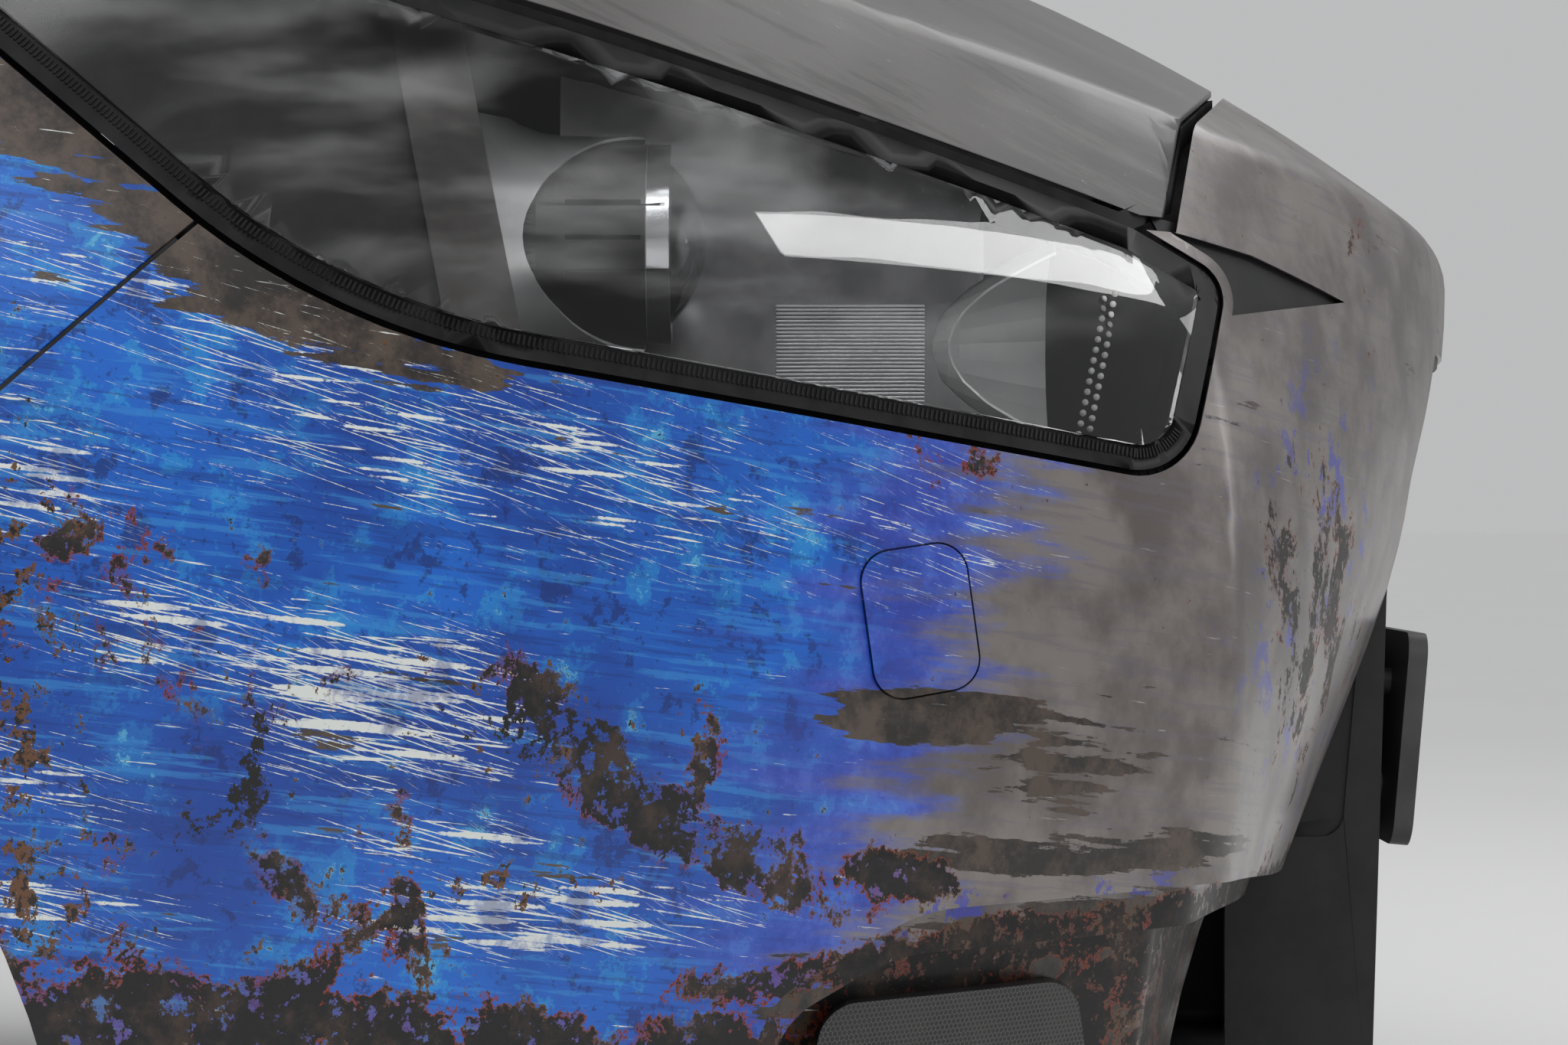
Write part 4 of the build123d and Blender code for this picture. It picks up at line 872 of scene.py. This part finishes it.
gasket_spots = []
for place, normal, tangent, across in on_rim(lip_path(GASKET_INSET)[::2], GASKET_REACH):
    if across.z > 0:
        across, tangent = -across, -tangent
    gasket_spots.append(turned(place - normal * GASKET_DEPTH + across * GASKET_OFFSET, across, tangent, normal))
pair_up(laid_out(block(GASKET_SIZE), gasket_spots, "lamp_gasket_right"), "seal", smoothed=False)

# Rubber seal under the bonnet's front and side edges: its section, how far in and how far under it lies, and where
# along x and y it bends
SEAL_SIZE = (0.008, 0.010)
SEAL_INSET = 0.002
SEAL_DROP = 0.003
SEAL_FRONT_X = (0.0, -0.08, -0.16, -0.24, -0.32, -0.40, -0.46, -0.51, -0.55)
SEAL_SIDE_Y = (-0.825, -0.80, -0.77, -0.74, -0.70, -0.66, -0.62, -0.56, -0.50, -0.44, -0.38, -0.33)
# The edge is looked for from outside the bonnet, in small steps, from a place under it
SEARCH_Y, SEARCH_X, SEARCH_Z = -0.95, -0.85, -0.5
SEARCH_STEP = 0.001


def under_bonnet(x, y):
    """Height of the bonnet's underside, or None beside it."""
    hit, place, normal, face = finished["bonnet_skin"].ray_cast(Vector((x, y, SEARCH_Z)), Vector((0, 0, 1)))
    return place.z if hit else None


def bonnet_edge():
    """Points along the bonnet's right-hand front and side edges, from the middle backwards."""
    edge = []
    for x in SEAL_FRONT_X:
        y = SEARCH_Y
        while under_bonnet(x, y) is None:
            y += SEARCH_STEP
        edge.append((x, y + SEAL_INSET))
    for y in SEAL_SIDE_Y:
        x = SEARCH_X
        while under_bonnet(x, y) is None:
            x += SEARCH_STEP
        edge.append((x + SEAL_INSET, y))
    return [Vector((x, y, under_bonnet(x, y) - SEAL_DROP)) for x, y in edge]


edge = bonnet_edge()
deselect()
bpy.ops.mesh.primitive_plane_add(size=1, location=(0, 0, 0))
seal = bpy.context.object
seal.name = "bonnet_seal_right"
seal.scale = (*SEAL_SIZE, 1)
seal.rotation_euler = (radians(90), 0, radians(45))
seal.location = edge[0] - Vector((0, 0, SEAL_SIZE[1] / 2))
settle()
edit_all(seal)
for here, there in zip(edge, edge[1:]):
    bpy.ops.mesh.extrude_region_move(TRANSFORM_OT_translate={"value": there - here})
bpy.ops.mesh.select_all(action="SELECT")
bpy.ops.mesh.normals_make_consistent(inside=False)
done()
pair_up(seal, "seal", body=body_of_node["bonnet_skin"])

# Floor, lamps and surroundings
FLOOR_SIZE, FLOOR_GAP = 300, 0.001
# Each lamp's place, what it points at, its size, roll in degrees and power: a large soft one beside the car, a
# strip and a panel that gloss mirrors, and two that fill the front and the back
LAMPS = (
    ((-3.4, -0.1, 2.4), (-0.7, -0.6, 0.1), (1.8, 1.8), 0, 32),
    ((-0.45, -3.2, 1.92), (-0.65, -0.75, 0.2), (1.5, 0.22), -24, 7),
    ((0.6, -3.9, 1.05), (-0.5, -0.9, 0.1), (0.35, 1.4), 0, 6),
    ((1.6, -2.6, 2.6), (0, -0.7, 0.2), (1.6, 1.6), 0, 14),
    ((0.6, 2.4, 2.8), (0, 0, 0.2), (2.2, 2.2), 0, 18),
)
# Strength of the surroundings as light, as the pale background, and where gloss mirrors them low down
LIGHT_LEVEL, BACKGROUND_LEVEL, LOW_LEVEL = 0.62, 0.51, 0.30
# Clouds that gloss mirrors: stretch in height, scale and detail, and the noise at which they are dark and bright
CLOUD_STRETCH, CLOUD_SCALE, CLOUD_DETAIL = 3.4, 2.6, 5
CLOUD_NOISE, CLOUD_LEVEL = (0.46, 0.70), (0.16, 2.3)
# Height in the sky, as a direction's z, over which the clouds take over from the low part
CLOUD_RISE = (0.40, 0.62)


def studio():
    """The floor, seen only from above, and the lamps."""
    deselect()
    bpy.ops.mesh.primitive_plane_add(size=FLOOR_SIZE, location=(0, 0, cad_box[0].z - FLOOR_GAP))
    floor = bpy.context.object
    floor.name = "floor"
    s = Shades("pale floor")
    s.set(Base_Color=s.mix(s.noise(0.8), (0.79, 0.79, 0.78), (0.83, 0.83, 0.82)), Roughness=0.7)
    above = s.new("ShaderNodeMixShader")
    s.plug(above.inputs[0], s.new("ShaderNodeNewGeometry").outputs["Backfacing"])
    s.plug(above.inputs[1], s.shader.outputs[0])
    s.plug(above.inputs[2], s.new("ShaderNodeBsdfTransparent").outputs[0])
    s.plug(s.tree.nodes["Material Output"].inputs["Surface"], above.outputs[0])
    floor.data.materials.append(s.material)
    for place, aim, size, roll, power in LAMPS:
        bpy.ops.object.light_add(type="AREA", location=place)
        lamp = bpy.context.object
        lamp.data.shape = "RECTANGLE"
        lamp.data.size, lamp.data.size_y = size
        lamp.data.energy = power
        aimed = (Vector(aim) - Vector(place)).to_track_quat("-Z", "Y").to_matrix()
        lamp.rotation_euler = (aimed @ Matrix.Rotation(radians(roll), 3, "Z")).to_euler()


def sky():
    """Plain pale surroundings; what gloss mirrors is darker low down, with soft clouds above."""
    world = bpy.data.worlds.new("studio")
    bpy.context.scene.world = world
    world.use_nodes = True
    tree = world.node_tree
    place = add_node(tree, "ShaderNodeTexCoord").outputs["Generated"]
    height = add_node(tree, "ShaderNodeSeparateXYZ")
    stretch = add_node(tree, "ShaderNodeMapping")
    stretch.inputs["Scale"].default_value = (1.0, 1.0, CLOUD_STRETCH)
    clouds = add_node(tree, "ShaderNodeTexNoise")
    clouds.inputs["Scale"].default_value = CLOUD_SCALE
    clouds.inputs["Detail"].default_value = CLOUD_DETAIL
    tones = add_node(tree, "ShaderNodeMapRange", interpolation_type="SMOOTHSTEP")
    tones.inputs["From Min"].default_value, tones.inputs["From Max"].default_value = CLOUD_NOISE
    tones.inputs["To Min"].default_value, tones.inputs["To Max"].default_value = CLOUD_LEVEL
    rise = add_node(tree, "ShaderNodeMapRange", interpolation_type="SMOOTHSTEP")
    rise.inputs["From Min"].default_value, rise.inputs["From Max"].default_value = CLOUD_RISE
    mirrored_sky = add_node(tree, "ShaderNodeMix")
    mirrored_sky.inputs[2].default_value = LOW_LEVEL
    path = add_node(tree, "ShaderNodeLightPath")
    seen = add_node(tree, "ShaderNodeMath", operation="MAXIMUM")
    level = add_node(tree, "ShaderNodeMix")
    level.inputs[2].default_value = LIGHT_LEVEL
    level.inputs[3].default_value = BACKGROUND_LEVEL
    both = add_node(tree, "ShaderNodeMix")
    background = tree.nodes["Background"]
    background.inputs["Color"].default_value = (0.985, 0.99, 1.0, 1)
    for start, end in (
        (place, height.inputs[0]), (place, stretch.inputs["Vector"]),
        (stretch.outputs["Vector"], clouds.inputs["Vector"]), (clouds.outputs["Fac"], tones.inputs["Value"]),
        (height.outputs["Z"], rise.inputs["Value"]), (rise.outputs["Result"], mirrored_sky.inputs[0]),
        (tones.outputs["Result"], mirrored_sky.inputs[3]),
        (path.outputs["Is Camera Ray"], seen.inputs[0]), (path.outputs["Is Transmission Ray"], seen.inputs[1]),
        (seen.outputs[0], level.inputs[0]), (path.outputs["Is Glossy Ray"], both.inputs[0]),
        (level.outputs[0], both.inputs[2]), (mirrored_sky.outputs[0], both.inputs[3]),
        (both.outputs[0], background.inputs["Strength"]),
    ):
        tree.links.new(start, end)


def photo_camera():
    """The photograph's camera, level and looking along +X."""
    bpy.ops.object.camera_add(location=CAMERA_PLACE, rotation=(radians(90), 0, radians(-90)))
    camera = bpy.context.object
    camera.data.lens = CAMERA_LENS
    camera.data.sensor_width = CAMERA_SENSOR
    camera.data.clip_start = 0.05
    bpy.context.scene.camera = camera


studio()
sky()
photo_camera()
bpy.context.scene.view_settings.view_transform = "Standard"
